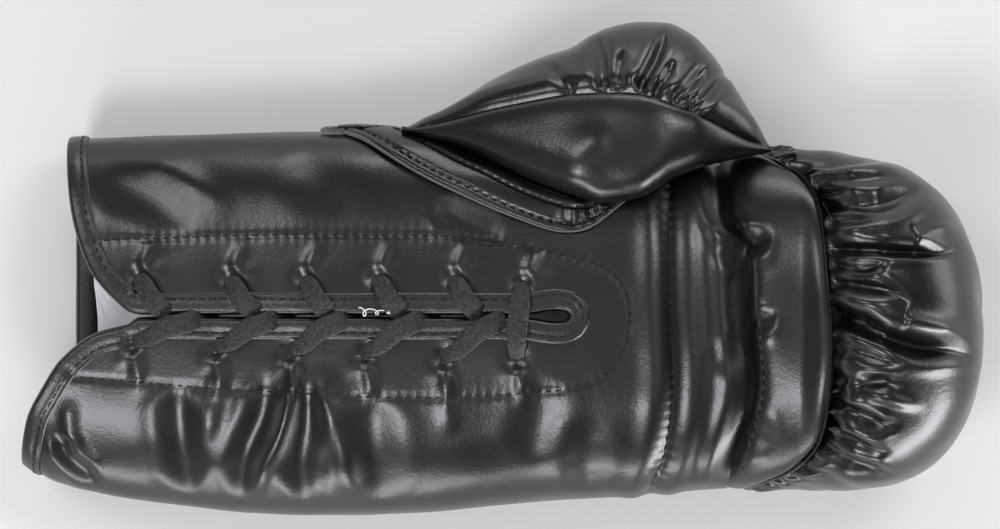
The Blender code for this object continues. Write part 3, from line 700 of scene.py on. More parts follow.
# ---------------------------------------------------------------------------------------- fist
DEEP_FOLDS = [
    # points, depth, width, ridge
    ([(93.6, 33.8), (104.9, 35.0), (115.6, 36.6), (125.8, 36.2), (134, 34.6)], 2.8, 1.7, 0.2),
    ([(101, 21.5), (112, 21.9), (121, 22.8), (131, 24.6), (143, 28.0)], 4.4, 3.3, 0.2),
    ([(106, 6.6), (117.8, 6.7), (133.2, 6.2), (144.9, 5.7), (151.6, 7.6)], 3.4, 1.4, 0.2),
    ([(134, 10.0), (142, 12.4), (151, 13.4)], -1.5, 3.0, 0),
    ([(104.4, -13.4), (117.8, -19.1), (127.8, -22.8), (135.5, -25.1), (148.6, -26.8), (159.3, -30.5)],
     5.4, 2.5, 0.2),
    ([(130, -16.5), (141, -18.6), (152, -20.0)], -1.6, 3.6, 0),
    ([(111, -36.6), (121, -40.4), (130, -43.2), (139, -45.6)], -1.8, 2.2, 0),
    ([(106.5, -33), (114, -37.6), (124, -36.5), (133, -38.5)], 2.4, 1.8, 0.2),
    ([(106.5, -40.5), (112.6, -46.3), (121.8, -50.4), (131, -50.5)], 3.0, 1.7, 0.2),
    ([(105.4, -47.3), (111, -55), (118.7, -59.1), (128, -59.5)], 2.8, 1.7, 0.2),
    ([(103.0, -53.9), (111.6, -62.0), (121.8, -65.6), (132, -68)], 2.4, 1.6, 0.2),
    ([(106, 15.2), (114, 16.2), (123, 16.6)], 2.2, 1.4, 0.2),
    ([(106, 11.0), (114, 12.4), (124, 14.6)], -0.9, 2.0, 0),
    ([(107, 1.6), (115, 0.0), (122, 1.6), (127, 4.0)], 2.0, 1.3, 0.2),
    ([(107, -4.6), (116, -5.2), (127, -7.8), (133, -11.5)], 2.5, 1.5, 0.2),
    ([(107, -8.6), (117, -11.0), (126, -13.0)], -1.1, 2.3, 0),
    ([(107, -22.4), (116, -26.5), (126, -30.0), (132, -30.4)], 2.6, 1.5, 0.2),
    ([(102, 28.0), (112, 29.8), (124, 30.6), (134, 30.0)], 2.0, 1.5, 0.2),
]
CLEAR_OF_FOLD = 2.6       # no small gather starts this near a deep fold


def fist_grid(rows=120, palm_cols=440, back_cols=170):
    a = np.concatenate([np.linspace(-0.12, math.pi + 0.12, palm_cols, endpoint=False),
                        np.linspace(math.pi + 0.12, 2 * math.pi - 0.12, back_cols, endpoint=False)])[None, :]
    start = np.full_like(a, 100.0)
    for _ in range(6):
        p = skin(start, a)
        palm = np.maximum(grip_edge(np.clip(p[..., 1], -74, 38.8)), BACK_SEAM_X + 0.5)
        start = np.where(np.sin(a) > 0, palm, BACK_SEAM_X + 0.5)
    top = smoothstep(np.sin(a) / 0.16)
    start = (BACK_SEAM_X + 0.5) * (1 - top) + start * top
    u = np.linspace(0, math.pi / 2, rows)[:, None]
    return start + (TIP_X - 0.01 - start) * np.sin(u) ** 1.08, a


def build_fist():
    """The gathered fist leather: deep folds at chosen places, and small gathers between them."""
    x, a = fist_grid()
    p = skin(x, a + x * 0)
    n = normals_of(p, ring=True)
    n *= np.where(np.sum(n * (p - np.array([105.0, -18, 42])), axis=-1, keepdims=True) < 0, -1, 1)
    n[-1] = (1, 0, 0)
    out = np.concatenate([[np.zeros(p.shape[1])],
                          np.cumsum(np.linalg.norm(np.diff(p, axis=0), axis=-1), axis=0)])
    along = np.concatenate([[0], np.cumsum(np.linalg.norm(np.diff(p[0], axis=0), axis=-1))])[None, :]
    top = smoothstep(np.sin(a) / 0.25 + 0.4)
    facing_up = smoothstep((n[..., 2] + 0.15) / 0.45)
    draw = np.random.default_rng(21)
    relief = 0.9 * waves(x, a * 60, 42, 31) + 0.30 * waves(p[..., 0] + p[..., 2], p[..., 1], 15, 32)
    palm_run = along[0][np.sin(a[0]) > 0]
    low, high = palm_run.min(), palm_run.max()
    spots = np.arange(low + 4, high - 2, 5.6)
    for spot in spots + draw.uniform(-1.0, 1.0, len(spots)):
        share = (spot - low) / (high - low)
        root = p[4, np.argmin(np.abs(along[0] - spot))]
        starts = [points[0] for points, depth, _, _ in DEEP_FOLDS if depth > 0]
        if min(math.hypot(root[0] - x0, root[1] - y0) for x0, y0 in starts) < CLEAR_OF_FOLD:
            continue
        length = draw.uniform(9, 22)
        deep = draw.uniform(0.9, 1.8)
        lean = np.interp(share, [0, 0.2, 0.45, 0.7, 0.85, 1], [-0.15, -0.1, 0.02, 0.3, 0.75, 0.9])
        path = spot + lean * 11 * (1 - np.exp(-out / 11))
        wide = 0.95 + 0.07 * out
        gap = np.hypot((along - path) / wide, 0.35) - 0.35
        fade = smoothstep((length - out) / (0.7 * length)) * smoothstep((out + 1.5) / 3)
        relief += deep * fade * (0.15 * np.exp(-((gap - 2.2) / 1.1) ** 2) - np.exp(-gap ** 1.3))
    wrap = (x > 81) * facing_up
    for points, depth, width, ridge in DEEP_FOLDS:
        relief += fold(p[..., 0], p[..., 1], points, depth, width, ridge, (0.06, 0.45), 1.25) * wrap
    relief += 1.1 * np.exp(-((out - 8) / 5.5) ** 2) * top
    relief -= 2.6 * np.exp(-out / 1.3)
    relief *= smoothstep((1.0 - np.linspace(0, 1, len(x))[:, None]) / 0.12)
    q = p + n * relief[..., None]
    q[..., 2] = np.maximum(q[..., 2], 0.25)
    q[-1] = q[-1].mean(axis=0)
    made = weld(plate("fist_leather", q, GATHERED, LEATHER, ring=True))
    swing(made, "grip")
    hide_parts("fist_cover", "fist_foam")


# ---------------------------------------------------------------------------------------- thumb
thumb_out = curve((-33, 46.8), (-20, 51.8), (-5, 62), (14, 71.0), (23, 73.8), (33.7, 80.0), (46.7, 82.5),
                  (55.1, 82.1), (62.8, 79.0), (70.5, 71.8), (75.2, 64.6), (81.2, 55.0), (85.9, 46.6),
                  (90.2, 39.8))
thumb_in = curve((-33, 46.2), (-14.9, 41.0), (6.4, 31.2), (24, 24.2), (33, 21.4), (44.4, 23.2), (56.8, 29.5),
                 (70.5, 34.8), (90.2, 39.0))
thumb_tall = curve((-33, 5), (0, 15), (25, 19.5), (46, 21), (63, 18.5), (75, 13), (84, 7.5), (90.2, 2.0))
thumb_level = curve((-33, 40), (0, 46), (25, 50), (60, 51), (90.2, 49))
thumb_seam_y = curve((-33, 46.4), (-20.3, 49.3), (2.8, 54.7), (25.9, 58.2), (39.7, 58.4), (49, 57),
                     (56.6, 54.3), (65.9, 50.9), (82, 42.9), (90.2, 40.1))
THUMB_LIFT = 0.32
PLEATS = [
    ([(15.9, 68.5), (19.5, 63.0), (24.1, 58.6)], 1.0, 1.4, 0.05),
    ([(33.0, 81.5), (32.6, 74.7), (33.2, 67), (34.5, 59.0)], 2.6, 1.9, 0.05),
    ([(40.2, 73.3), (39.0, 65.2), (39.2, 59.2)], 1.5, 1.2, 0.05),
    ([(55.6, 82.0), (52.4, 73.2), (48.4, 64.7), (45.0, 58.6)], 2.8, 1.3, 0.1),
    ([(57.8, 68.8), (53.2, 61.4), (50.1, 57.4)], 1.6, 1.1, 0.05),
    ([(68.4, 68.2), (62.3, 60.3), (56.6, 54.9)], 1.8, 1.2, 0.05),
    ([(77.0, 67.3), (71.3, 60.0), (66.2, 54.9), (62.4, 52.6)], 2.2, 1.4, 0.1),
]
PANEL_FOLDS = [
    ([(24.0, 24), (25.5, 32), (30.0, 40), (37, 46)], -0.9, 5.5, 0),
    ([(33, 22), (36, 30), (44, 37), (54, 42)], 0.7, 5.5, 0.5),
]


def thumb_skin(x, a):
    """Points of the thumb's smooth surface, pushed clear of the hand that it lies against."""
    outer, inner = thumb_out(x), thumb_in(x)
    yc, half_y, half_z = (outer + inner) / 2, (outer - inner) / 2, thumb_tall(x)
    y = half_y * signed_power(np.cos(a), 2 / SQUARENESS)
    z = thumb_level(x) + half_z * signed_power(np.sin(a), 2 / SQUARENESS) - THUMB_LIFT * y
    y = yc + y
    hand_y, hand_z, wide, high = section(x)
    clear = np.where(x < 77, 0.6, 1.6)
    wide, high = wide + clear, high + clear
    dy, dz = y - hand_y, z - hand_z
    size = np.abs(dy / wide) ** SQUARENESS + np.abs(dz / high) ** SQUARENESS
    grow = np.where(size < 1, np.maximum(size, 1e-3) ** (-1 / SQUARENESS), 1)
    return np.stack(np.broadcast_arrays(x, hand_y + dy * grow, hand_z + dz * grow), axis=-1)


def thumb_seam_angle(x):
    outer, inner = thumb_out(x), thumb_in(x)
    yc, half_y = (outer + inner) / 2, (outer - inner) / 2
    return np.arccos(signed_power(np.clip((thumb_seam_y(x) - yc) / half_y, -0.999, 0.999), SQUARENESS / 2))


def thumb_surface(x, a, folds):
    fade = (0.35, 0.06) if folds is PLEATS else (0.3, 0.3)
    p = thumb_skin(x, a)
    step = 0.03
    n = np.cross(thumb_skin(x, a + step) - thumb_skin(x, a - step),
                 thumb_skin(np.minimum(x + 0.6, 90.2), a) - thumb_skin(x - 0.6, a))
    n /= np.maximum(np.linalg.norm(n, axis=-1, keepdims=True), 1e-9)
    middle = np.stack(np.broadcast_arrays(np.minimum(x, 70.0), (thumb_out(x) + thumb_in(x)) / 2,
                                          thumb_level(x)), axis=-1)
    n *= np.where(np.sum(n * (p - middle), axis=-1, keepdims=True) < 0, -1, 1)
    relief = 0.35 * waves(p[..., 0], p[..., 1] + p[..., 2], 36, 41)
    up = smoothstep((n[..., 2] + 0.3) / 0.5)
    for points, depth, width, ridge in folds:
        relief = relief + up * fold(p[..., 0], p[..., 1], points, depth, width, ridge, fade, 1.5)
    return p, n, relief


def build_thumb():
    """The thumb's pleated outer leather and smooth inner leather, sewn along one seam."""
    rows = -33 + 123.0 * np.sin(np.linspace(0, math.pi / 2, 330)[:, None])
    rows = np.minimum(rows, 90.0)
    seam = thumb_seam_angle(rows)
    lower = -math.pi * 0.75
    for name, low, high, folds, node in (
            ("thumb_outer_leather", lower, seam, PLEATS, ("thumb_outer_cover", "thumb_foam")),
            ("thumb_inner_leather", seam, 2 * math.pi + lower, PANEL_FOLDS,
             ("thumb_inner_cover", "thumb_lining"))):
        v = np.linspace(0, 1, 130)[None, :]
        a = low + (high - low) * v
        p, n, relief = thumb_surface(rows + a * 0, a, folds)
        run = np.concatenate([np.zeros((len(rows), 1)),
                              np.cumsum(np.linalg.norm(np.diff(p, axis=1), axis=-1), axis=1)], axis=1)
        gap = (run[:, -1:] - run) if name == "thumb_outer_leather" else run
        puff = 1.1 if name == "thumb_outer_leather" else 0.3
        relief = relief + puff * np.exp(-((gap - 6) / 4.5) ** 2) - 1.2 * np.exp(-(gap / 1.1) ** 1.3)
        fade = smoothstep((90.0 - rows) / 8) * smoothstep((rows + 33) / 10)
        q = p + n * (relief * fade)[..., None]
        made = plate(name, q, GATHERED if puff > 1 else HIDE, LEATHER)
        swing(made, "root")
        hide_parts(*node)


# ------------------------------------------------------------------------- strips, stitches, lace
def stitch_mesh(name, centres, tangents, ups, body, length=2.1, radius=0.27):
    """A row of thread stitches, each a small rounded bar that dips in at both ends."""
    around = np.linspace(0, 2 * math.pi, 7)[:-1]
    steps = np.array([-1, -0.8, -0.35, 0.35, 0.8, 1])
    size = np.array([0.25, 0.8, 1, 1, 0.8, 0.25])
    dip = np.array([-0.55, -0.25, 0, 0, -0.25, -0.55]) * radius * 2
    t = np.concatenate([np.stack([np.full(6, s * length / 2), np.cos(around) * r * radius,
                                  np.sin(around) * r * radius + d], axis=1)
                        for s, r, d in zip(steps, size, dip)])
    faces = []
    for ring in range(5):
        for k in range(6):
            a, b = ring * 6 + k, ring * 6 + (k + 1) % 6
            faces.append((a, b, b + 6, a + 6))
    faces.append(tuple(range(5, -1, -1)))
    faces.append(tuple(range(30, 36)))
    side = np.cross(ups, tangents)
    side /= np.maximum(np.linalg.norm(side, axis=1, keepdims=True), 1e-9)
    up = np.cross(tangents, side)
    points = (centres[:, None] + t[None, :, :1] * tangents[:, None] + t[None, :, 1:2] * side[:, None]
              + t[None, :, 2:] * up[:, None])
    every = [tuple(v + k * len(t) for v in face) for k in range(len(centres)) for face in faces]
    made = link(name, points.reshape(-1, 3), every, THREAD)
    return swing(made, body)


def palm_stitches(name, plan, body, lift=0.25):
    """Stitches along a plan path on the palm side."""
    path = spline(plan, 400)
    run = np.concatenate([[0], np.cumsum(np.hypot(*np.diff(path, axis=0).T))])
    at = np.arange(STITCH / 2, run[-1], STITCH)
    x, y = np.interp(at, run, path[:, 0]), np.interp(at, run, path[:, 1])
    ahead = np.stack([np.interp(at + 0.5, run, path[:, k]) for k in (0, 1)])
    behind = np.stack([np.interp(at - 0.5, run, path[:, k]) for k in (0, 1)])
    p, n = on_palm(x, y, lift)
    q, _ = on_palm(ahead[0], ahead[1], lift)
    r, _ = on_palm(behind[0], behind[1], lift)
    t = q - r
    t /= np.linalg.norm(t, axis=1, keepdims=True)
    return stitch_mesh(name, p, t, n, body)


def tape_grid(outer, inner, under, deep, bulge, thick=1.1, sides=9):
    """Points of a tape folded over an edge: from inner over outer, round the edge and back underneath.

    outer and inner are points on the upper face at the edge and a tape's width in from it; under and
    deep are the same on the lower face.
    """
    out = outer - inner
    out /= np.linalg.norm(out, axis=1, keepdims=True)
    down = under - outer
    tall = np.linalg.norm(down, axis=1, keepdims=True)
    rows = []
    for s in (0, 0.06, 0.2, 0.34, 0.5, 0.7, 0.9):
        rise = 0.25 + 0.75 * math.sin(min(s / 0.2, 1) * math.pi / 2)
        groove = -0.45 * math.exp(-((s - 0.34) / 0.06) ** 2)
        rows.append(inner + (outer - inner) * s - down / tall * (thick * rise + groove))
    for k in range(1, sides + 1):
        turn = math.pi * k / (sides + 1)
        centre = outer * 0.5 + under * 0.5
        rows.append(centre - down / 2 * math.cos(turn) * (1 + 2 * thick / tall)
                    + out * bulge * math.sin(turn))
    for s in (0.1, 0.4, 0.7, 1):
        rows.append(under + (deep - under) * s + down / tall * thick * (1 if s < 1 else 0.3))
    p = np.stack(rows, axis=1)
    p[..., 2] = np.maximum(p[..., 2], 0.1)
    return p


def unroll(p):
    """(x, angle) of points that lie near the smooth skin."""
    x = p[..., 0]
    yc, zc, half_y, half_z = section(x)
    c = signed_power((p[..., 1] - yc) / np.maximum(half_y, 1e-3), SQUARENESS / 2)
    s = signed_power((p[..., 2] - zc + 0.75) / np.maximum(half_z, 1e-3), SQUARENESS / 2)
    return x, np.arctan2(s, c) % (2 * math.pi)


def even(path, spacing):
    """The same path at even spacing."""
    run = np.concatenate([[0], np.cumsum(np.linalg.norm(np.diff(path, axis=0), axis=1))])
    at = np.linspace(0, run[-1], max(int(run[-1] / spacing), 2) + 1)
    return np.stack([np.interp(at, run, path[:, k]) for k in range(path.shape[1])], axis=1)


def soften(path, times=2):
    """Rounds the corners of a path and keeps its ends."""
    for _ in range(times):
        path = path.copy()
        path[1:-1] = path[:-2] * 0.25 + path[1:-1] * 0.5 + path[2:] * 0.25
    return path


def wall_at(x, a):
    up = smoothstep(np.sin(a) / 0.5 + 0.5)
    return wall_palm(x) * up + wall_back(x) * (1 - up)


def tape(name, edge, toward, bulge, body, nodes, width=BIND_WIDTH):
    """Edge binding along (x, angle) points of an edge; toward is +1 or -1, the side the leather is on."""
    x, a = edge[:, 0], edge[:, 1]
    p, n = raise_skin(x, a, cover_relief(x, a))
    path = soften(even(np.concatenate([p, n], axis=1), 1.1), 8)
    p, n = path[:, :3], path[:, 3:]
    n = n / np.linalg.norm(n, axis=1, keepdims=True)
    t = np.gradient(p, axis=0)
    t /= np.linalg.norm(t, axis=1, keepdims=True)
    inward = np.cross(n, t) * toward
    outer = p + inward * bulge
    far = p + inward * (bulge + width)
    fx, fa = unroll(far)
    inner, _ = raise_skin(fx, fa, cover_relief(fx, fa))
    wall = wall_at(p[:, 0], unroll(p)[1])[:, None]
    under = outer - n * wall
    deep = inner - n * wall
    p = tape_grid(outer, inner, under, deep, bulge)
    made = plate(name, p, BOUND, TAPE, middle=(p[:, :1] + p[:, -1:]) / 2)
    swing(made, body)
    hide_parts(*nodes)
    line = inner + (outer - inner) * 0.34 + n * 1.0
    line = even(np.concatenate([line, n], axis=1), STITCH)[1:-1]
    tangents = np.gradient(line[:, :3], axis=0)
    tangents /= np.linalg.norm(tangents, axis=1, keepdims=True)
    stitch_mesh(name + "_stitches", line[:, :3], tangents, line[:, 3:], body)
    return made


def build_bindings():
    for side, word in ((1, "thumb_side"), (-1, "little_side")):
        outer = SIDE_SEAM if side > 0 else math.pi - SIDE_SEAM
        corner = angle_at(-122.5, SLIT_Y + side * 0.8)
        a = np.linspace(outer, corner, 160)
        mouth = np.stack([mouth_x(a), a], axis=1)
        xs = np.linspace(-121, 8, 110)
        slit = np.stack([xs, angle_at(xs, SLIT_Y + side * SLIT_HALF)], axis=1)
        edge = np.concatenate([mouth, slit])
        tape(f"binding_{word}", edge, side, 1.2, side, [f"flap_binding_{word}"])
    turn = np.linspace(math.pi / 2, -math.pi / 2, 26)
    near = SLIT_HALF + (SLIT_END_R - SLIT_HALF) * smoothstep((np.linspace(8, 20.5, 12) - 8) / 10)
    x = np.concatenate([np.linspace(8, 20.5, 12), 21 + SLIT_END_R * 1.3 * np.cos(turn),
                        np.linspace(20.5, 8, 12)])
    y = np.concatenate([SLIT_Y + near, SLIT_Y + SLIT_END_R * np.sin(turn), SLIT_Y - near[::-1]])
    tape("binding_slit_end", np.stack([x, angle_at(x, y)], axis=1), 1, 1.2, HAND, ["slit_end_binding"])
    a = np.linspace(math.pi - SIDE_SEAM, 2 * math.pi + SIDE_SEAM, 220)
    tape("binding_back", np.stack([mouth_x(a), a], axis=1), 1, 1.5, HAND, ["back_binding"])


# ----------------------------------------------------------------------------------------- strap
STRAP_LOW = [(-60.5, 48.5), (-55.8, 46.2), (-46.5, 42.6), (-36, 36.2), (-20.4, 27.8), (-6.4, 21.4),
             (4.2, 17.1), (16.9, 12.8), (25.3, 12.4), (31, 14.4), (36.7, 18.6), (41.5, 22.4)]
STRAP_UP = [(-40, 50), (-33.8, 46.4), (-24, 42.3), (-14.9, 38.6), (-2.2, 32.7), (6.4, 28.5),
            (13.4, 25.6), (20, 23.4), (26, 22.1), (30, 22.3), (36, 25.5), (40, 29)]


def strap_surface(u, v):
    """Points of the strap at u along it and v across it, and the directions square to it."""
    low, up = spline(STRAP_LOW, 200), spline(STRAP_UP, 200)
    at = np.linspace(0, 1, 200)
    lx, ly = np.interp(u, at, low[:, 0]), np.interp(u, at, low[:, 1])
    ux, uy = np.interp(u, at, up[:, 0]), np.interp(u, at, up[:, 1])
    x, y = lx + (ux - lx) * v, ly + (uy - ly) * v
    y = np.minimum(y, thumb_side(x) - 0.6)
    a = angle_at(x, y)
    lift = 2.1 + 0.9 * np.sin(math.pi * v) ** 0.6
    for line in (0.22, 0.74):
        lift = lift - 0.7 * np.exp(-((v - line) / 0.045) ** 2) * (1 + 0.3 * np.cos(u * 2 * math.pi * 32))
    pinch = smoothstep((u - 0.70) / 0.2)
    lift = lift + pinch * 0.9 * np.cos((u * 96 + v * 3.0)) * np.sin(math.pi * v)
    lift = lift + 0.5 * waves(u * 100, v * 12, 22, 51)
    return raise_skin(x, a, 0.5 * waves(x, y, 42, 3) + lift)


def build_strap():
    u, v = np.linspace(0, 1, 150)[:, None], np.linspace(0, 1, 30)[None, :]
    p, n = strap_surface(u + v * 0, v + u * 0)
    p[:, 0] -= n[:, 0] * 0.6
    made = plate("thumb_strap_leather", p, HIDE, 1.5)
    swing(made, HAND)
    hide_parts("thumb_strap")
    low, n = strap_surface(u[:, 0], np.zeros(150))
    trim = np.stack([low + n * 0.05 + 0 * low, low - n * 1.2], axis=1)
    out = np.cross(np.gradient(low, axis=0), n)
    out /= np.linalg.norm(out, axis=1, keepdims=True)
    trim = trim + 0.28 * out[:, None] * (1 if out[60, 1] < 0 else -1)
    raw = plate("thumb_strap_raw_edge", trim, RAW_EDGE, 0.35)
    swing(raw, HAND)
    for k, line in enumerate((0.22, 0.74)):
        uu = np.linspace(0.01, 0.97, 400)
        p, n = strap_surface(uu, np.full(400, line))
        row = even(np.concatenate([p + n * 0.3, n], axis=1), STITCH)[1:-1]
        t = np.gradient(row[:, :3], axis=0)
        t /= np.linalg.norm(t, axis=1, keepdims=True)
        stitch_mesh(f"strap_stitches_{k}", row[:, :3], t, row[:, 3:], HAND, 2.2, 0.32)


# ------------------------------------------------------------------------------------------ lace
LACE_WIDTH, LACE_THICK = 7.0, 2.0


def braid(name, path, middle_up, start, width, body, nodes=()):
    """A flat knitted braid along a path. middle_up is its upper side at point number start."""
    path = soften(even(path, 0.55), 6)
    t = np.gradient(path, axis=0)
    t /= np.maximum(np.linalg.norm(t, axis=1, keepdims=True), 1e-9)
    start = min(int(start * len(path)), len(path) - 1)
    ups = np.zeros_like(path)
    up = middle_up - t[start] * np.dot(middle_up, t[start])
    ups[start] = up / np.linalg.norm(up)
    for order in (range(start + 1, len(path)), range(start - 1, -1, -1)):
        for k in order:
            before = k - 1 if k > start else k + 1
            up = ups[before] - t[k] * np.dot(ups[before], t[k])
            ups[k] = up / np.linalg.norm(up)
    side = np.cross(ups, t)
    run = np.concatenate([[0], np.cumsum(np.linalg.norm(np.diff(path, axis=0), axis=1))])
    around = np.linspace(0, 2 * math.pi, 44, endpoint=False)
    c, s = signed_power(np.cos(around), 0.75), signed_power(np.sin(around), 0.8)
    wide = np.interp(run / run[-1], np.linspace(0, 1, len(width)), width)
    thick = LACE_THICK * (LACE_WIDTH / wide) ** 0.35
    across = c[None, :] * wide[:, None] / 2
    knit = 0.24 * np.cos(2 * math.pi * across / 1.25) * np.cos(2 * math.pi * run[:, None] / 1.7)
    knit = knit * np.abs(s[None, :]) + 0.12 * np.cos(2 * math.pi * run[:, None] / 1.7) * np.abs(c[None, :])
    high = s[None, :] * (thick[:, None] / 2 + knit)
    points = path[:, None] + side[:, None] * across[..., None] + ups[:, None] * high[..., None]
    rows, cols = points.shape[:2]
    index = np.arange(rows * cols).reshape(rows, cols)
    nxt = np.roll(index, -1, axis=1)
    quads = np.stack([index[:-1], nxt[:-1], nxt[1:], index[1:]], axis=-1).reshape(-1, 4).tolist()
    quads.append(index[0][::-1].tolist())
    quads.append(index[-1].tolist())
    made = link(name, points.reshape(-1, 3), quads, LACE)
    bm = bmesh.new()
    bm.from_mesh(made.data)
    bmesh.ops.recalc_face_normals(bm, faces=bm.faces)
    bm.to_mesh(made.data)
    bm.free()
    swing(made, body)
    if nodes:
        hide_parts(*nodes)
    return made


def lace_route(spots):
    """Points over (x, y, lift) spots on the palm side, the lift along the skin's normal."""
    spots = np.array(spots, float)
    p, n = on_palm(spots[:, 0], spots[:, 1], 0.0)
    return p + n * spots[:, 2:], n


def build_lace():
    holes = {1: LACE_THUMB, -1: LACE_LITTLE}
    reach = {1: 9.4, -1: 19.5}
    draw = np.random.default_rng(77)
    for side, word in ((1, "thumb"), (-1, "little")):
        for k, (hx, hy) in enumerate(holes[side][:-1]):
            run = reach[side] + draw.uniform(-1.2, 1.2) + (3 if side < 0 and k == 0 else 0)
            to = hx + run
            half = (hy + SLIT_Y) / 2
            extra = 0.5 if side > 0 else 0.0
            over = [(hx - 0.8, hy + side * 0.9, -4.5), (hx - 0.2, hy + side * 0.3, -1.2),
                    (hx + 1.0, hy - side * 0.5, 1.1), (hx + run * 0.25, hy * 0.7 + half * 0.3, 2.2 + extra),
                    (hx + run * 0.55, half * 0.8 + SLIT_Y * 0.2, 2.7 + extra),
                    (hx + run * 0.82, SLIT_Y + side * 2.6, 2.5 + extra * 0.5),
                    (to, SLIT_Y + side * 0.8, 0.4), (to + 1.0, SLIT_Y, -3.4), (to + 1.2, SLIT_Y, -7.0)]
            path, n = lace_route(over)
            node = ("lace",) if (side, k) == (1, 0) else ()
            braid(f"lace_over_{word}_{k}", path, n[4], 0.5, (3.6, 4.4, 6.2, 7.2, 7.0, 6.6, 5.0), side, node)
            nx, ny = holes[-side][k + 1]
            deep = [(to + 1.2, SLIT_Y, -6.0), (to + 1.8, SLIT_Y - side * 0.8, -9.2),
                    ((to + nx) / 2, (SLIT_Y + ny) / 2, -11.0), (nx - 1.4, ny + side * 0.8, -11.0),
                    (nx, ny, -8.0), (nx, ny, -3.6)]
            path, n = lace_route(deep)
            braid(f"lace_under_{word}_{k}", path, n[2], 0.5, (5.5, 7, 7, 7, 5, 3.6), -side)
    (tx, ty), (lx, ly) = LACE_THUMB[-1], LACE_LITTLE[-1]
    bar = [(tx, ty + 1.0, -4.2), (tx, ty + 0.2, -0.8), (tx - 0.1, ty - 1.4, 1.6),
           (tx - 0.3, ty - 5.5, 2.8), (tx * 0.6 + lx * 0.4, SLIT_Y + 1.0, 3.1),
           (lx + 0.2, SLIT_Y - 6, 3.0), (lx, ly + 4.0, 2.6), (lx, ly + 1.2, 1.4), (lx, ly - 0.2, -0.8),
           (lx, ly - 1.0, -4.2)]
    path, n = lace_route(bar)
    braid("lace_bar", path, n[4], 0.5, (3.6, 5, 6.6, 6.8, 6.8, 6.6, 5, 3.6), HAND)
    for side, word in ((1, "thumb_side"), (-1, "little_side")):
        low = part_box(f"lace_knot_{word}")
        middle = (np.array(low[0]) + np.array(low[1])) / 2 / MM
        turn = np.linspace(0, 2 * math.pi, 90)
        knot = np.stack([1.15 * (np.sin(turn) + 0.9 * np.sin(2 * turn)),
                         1.15 * (np.cos(turn) - 0.9 * np.cos(2 * turn)), -1.0 * np.sin(3 * turn)], axis=1)
        braid(f"lace_stopper_{word}", knot + middle, np.array([0, 0, 1.0]), 0.1, (2.4, 2.4), FLAP[side],
              (f"lace_knot_{word}",))


# ---------------------------------------------------------------------------------------- lining
def lining_points(x, a):
    p, n = raise_skin(x, a, x * 0 + a * 0)
    wrinkle = 0.7 * waves(x, a * 50, 26, 61) + 0.25 * waves(x, a * 50, 9, 62)
    return p - n * (wall_at(x, a) - 0.9 + wrinkle)[..., None]


def build_lining():
    for side, word in ((1, "thumb_side"), (-1, "little_side")):
        x, a = palm_grid(side, 2.6, x_end=74.0, rows=130, cols=50, start_gap=1.8)
        made = plate(f"lining_{word}", lining_points(x, a), SATIN, 0.7)
        swing(made, side)
        nodes = [f"flap_lining_{word}"] + (["hand_lining"] if side < 0 else [])
        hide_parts(*nodes)
    v = np.linspace(0, 1, 90)[None, :]
    a = (math.pi - SIDE_SEAM) + (math.pi + 2 * SIDE_SEAM) * v
    start = mouth_x(a) + 1.8
    x = start + (74.0 - start) * np.linspace(0, 1, 120)[:, None]
    made = plate("lining_back", lining_points(x, a + x * 0), SATIN, 0.7)
    swing(made, HAND)
    a = np.linspace(0, 2 * math.pi, 120, endpoint=False)[None, :]
    u = np.linspace(0, math.pi / 2, 50)[:, None]
    along = 73.0 + 61.0 * np.sin(u)
    x = np.minimum(along, 96.0)
    p = lining_points(x + a * 0, a + x * 0)
    yc, zc, _, _ = section(x)
    centre = np.stack(np.broadcast_arrays(x, yc, zc - 2), axis=-1) + p * 0
    k = rounding(along, 96.0, 134.2)[..., None]
    p = centre + (p - centre) * k
    p[..., 0] = (along + a * 0)
    made = weld(plate("lining_finger_pocket", p, SATIN, 0.7, ring=True))
    swing(made, "grip")
    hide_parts("finger_lining")


def build_small_parts():
    turn = np.linspace(0, 1, 60)
    wisp = np.stack([-46.5 + 13 * turn + 1.3 * np.sin(turn * 21),
                     -14.2 + 1.5 * np.cos(turn * 21) * (1 - turn),
                     2.5 + 1.1 * np.sin(turn * 11)], axis=1)
    path, _ = lace_route(wisp)
    data = bpy.data.curves.new("lining_wisp", "CURVE")
    data.dimensions = "3D"
    data.bevel_depth = 0.2 * MM
    data.bevel_resolution = 2
    data.use_fill_caps = True
    line = data.splines.new("POLY")
    line.points.add(len(path) - 1)
    for spot, p in zip(line.points, path):
        spot.co = (*(p * MM), 1)
    data.materials.append(SATIN)
    made = bpy.data.objects.new("lining_wisp", data)
    bpy.context.scene.collection.objects.link(made)
    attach(made, FLAP[1])
    low, high = (np.array(v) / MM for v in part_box("thumb_tie"))
    middle, size = (low + high) / 2, (high - low) / 2
    u, v = np.linspace(-1, 1, 40)[:, None], np.linspace(-1, 1, 24)[None, :]
    x = 92.0 + 5.6 * u
    y = thumb_side(x) + 1.7 - 1.5 * u**4 - 0.3 * v**2 + 0.12 * np.sin(u * 9)
    p = np.stack(np.broadcast_arrays(x, y, middle[2] + size[2] * v * (0.80 + 0.12 * u)), axis=-1)
    made = plate("thumb_tie_leather", p, BOUND, 1.2)
    swing(made, FIST)
    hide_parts("thumb_tie")


def build_stitch_rows():
    middle = FACING_LINE.index((42.7, -15.7))
    palm_stitches("facing_stitches_thumb_side", FACING_LINE[:middle + 1], 1)
    palm_stitches("facing_stitches_little_side", FACING_LINE[middle:], -1)
    palm_stitches("palm_seam_stitches", PALM_SEAM, HAND, lift=0.05)
    ys = np.linspace(-68, -20, 16)
    line = [(float(valley_x(y)) + 3.0, float(y)) for y in ys]
    palm_stitches("grip_stitches", line, "grip", lift=0.3)


build_covers()
build_fist()
build_thumb()
build_bindings()
build_strap()
build_lace()
build_lining()
build_small_parts()
build_stitch_rows()


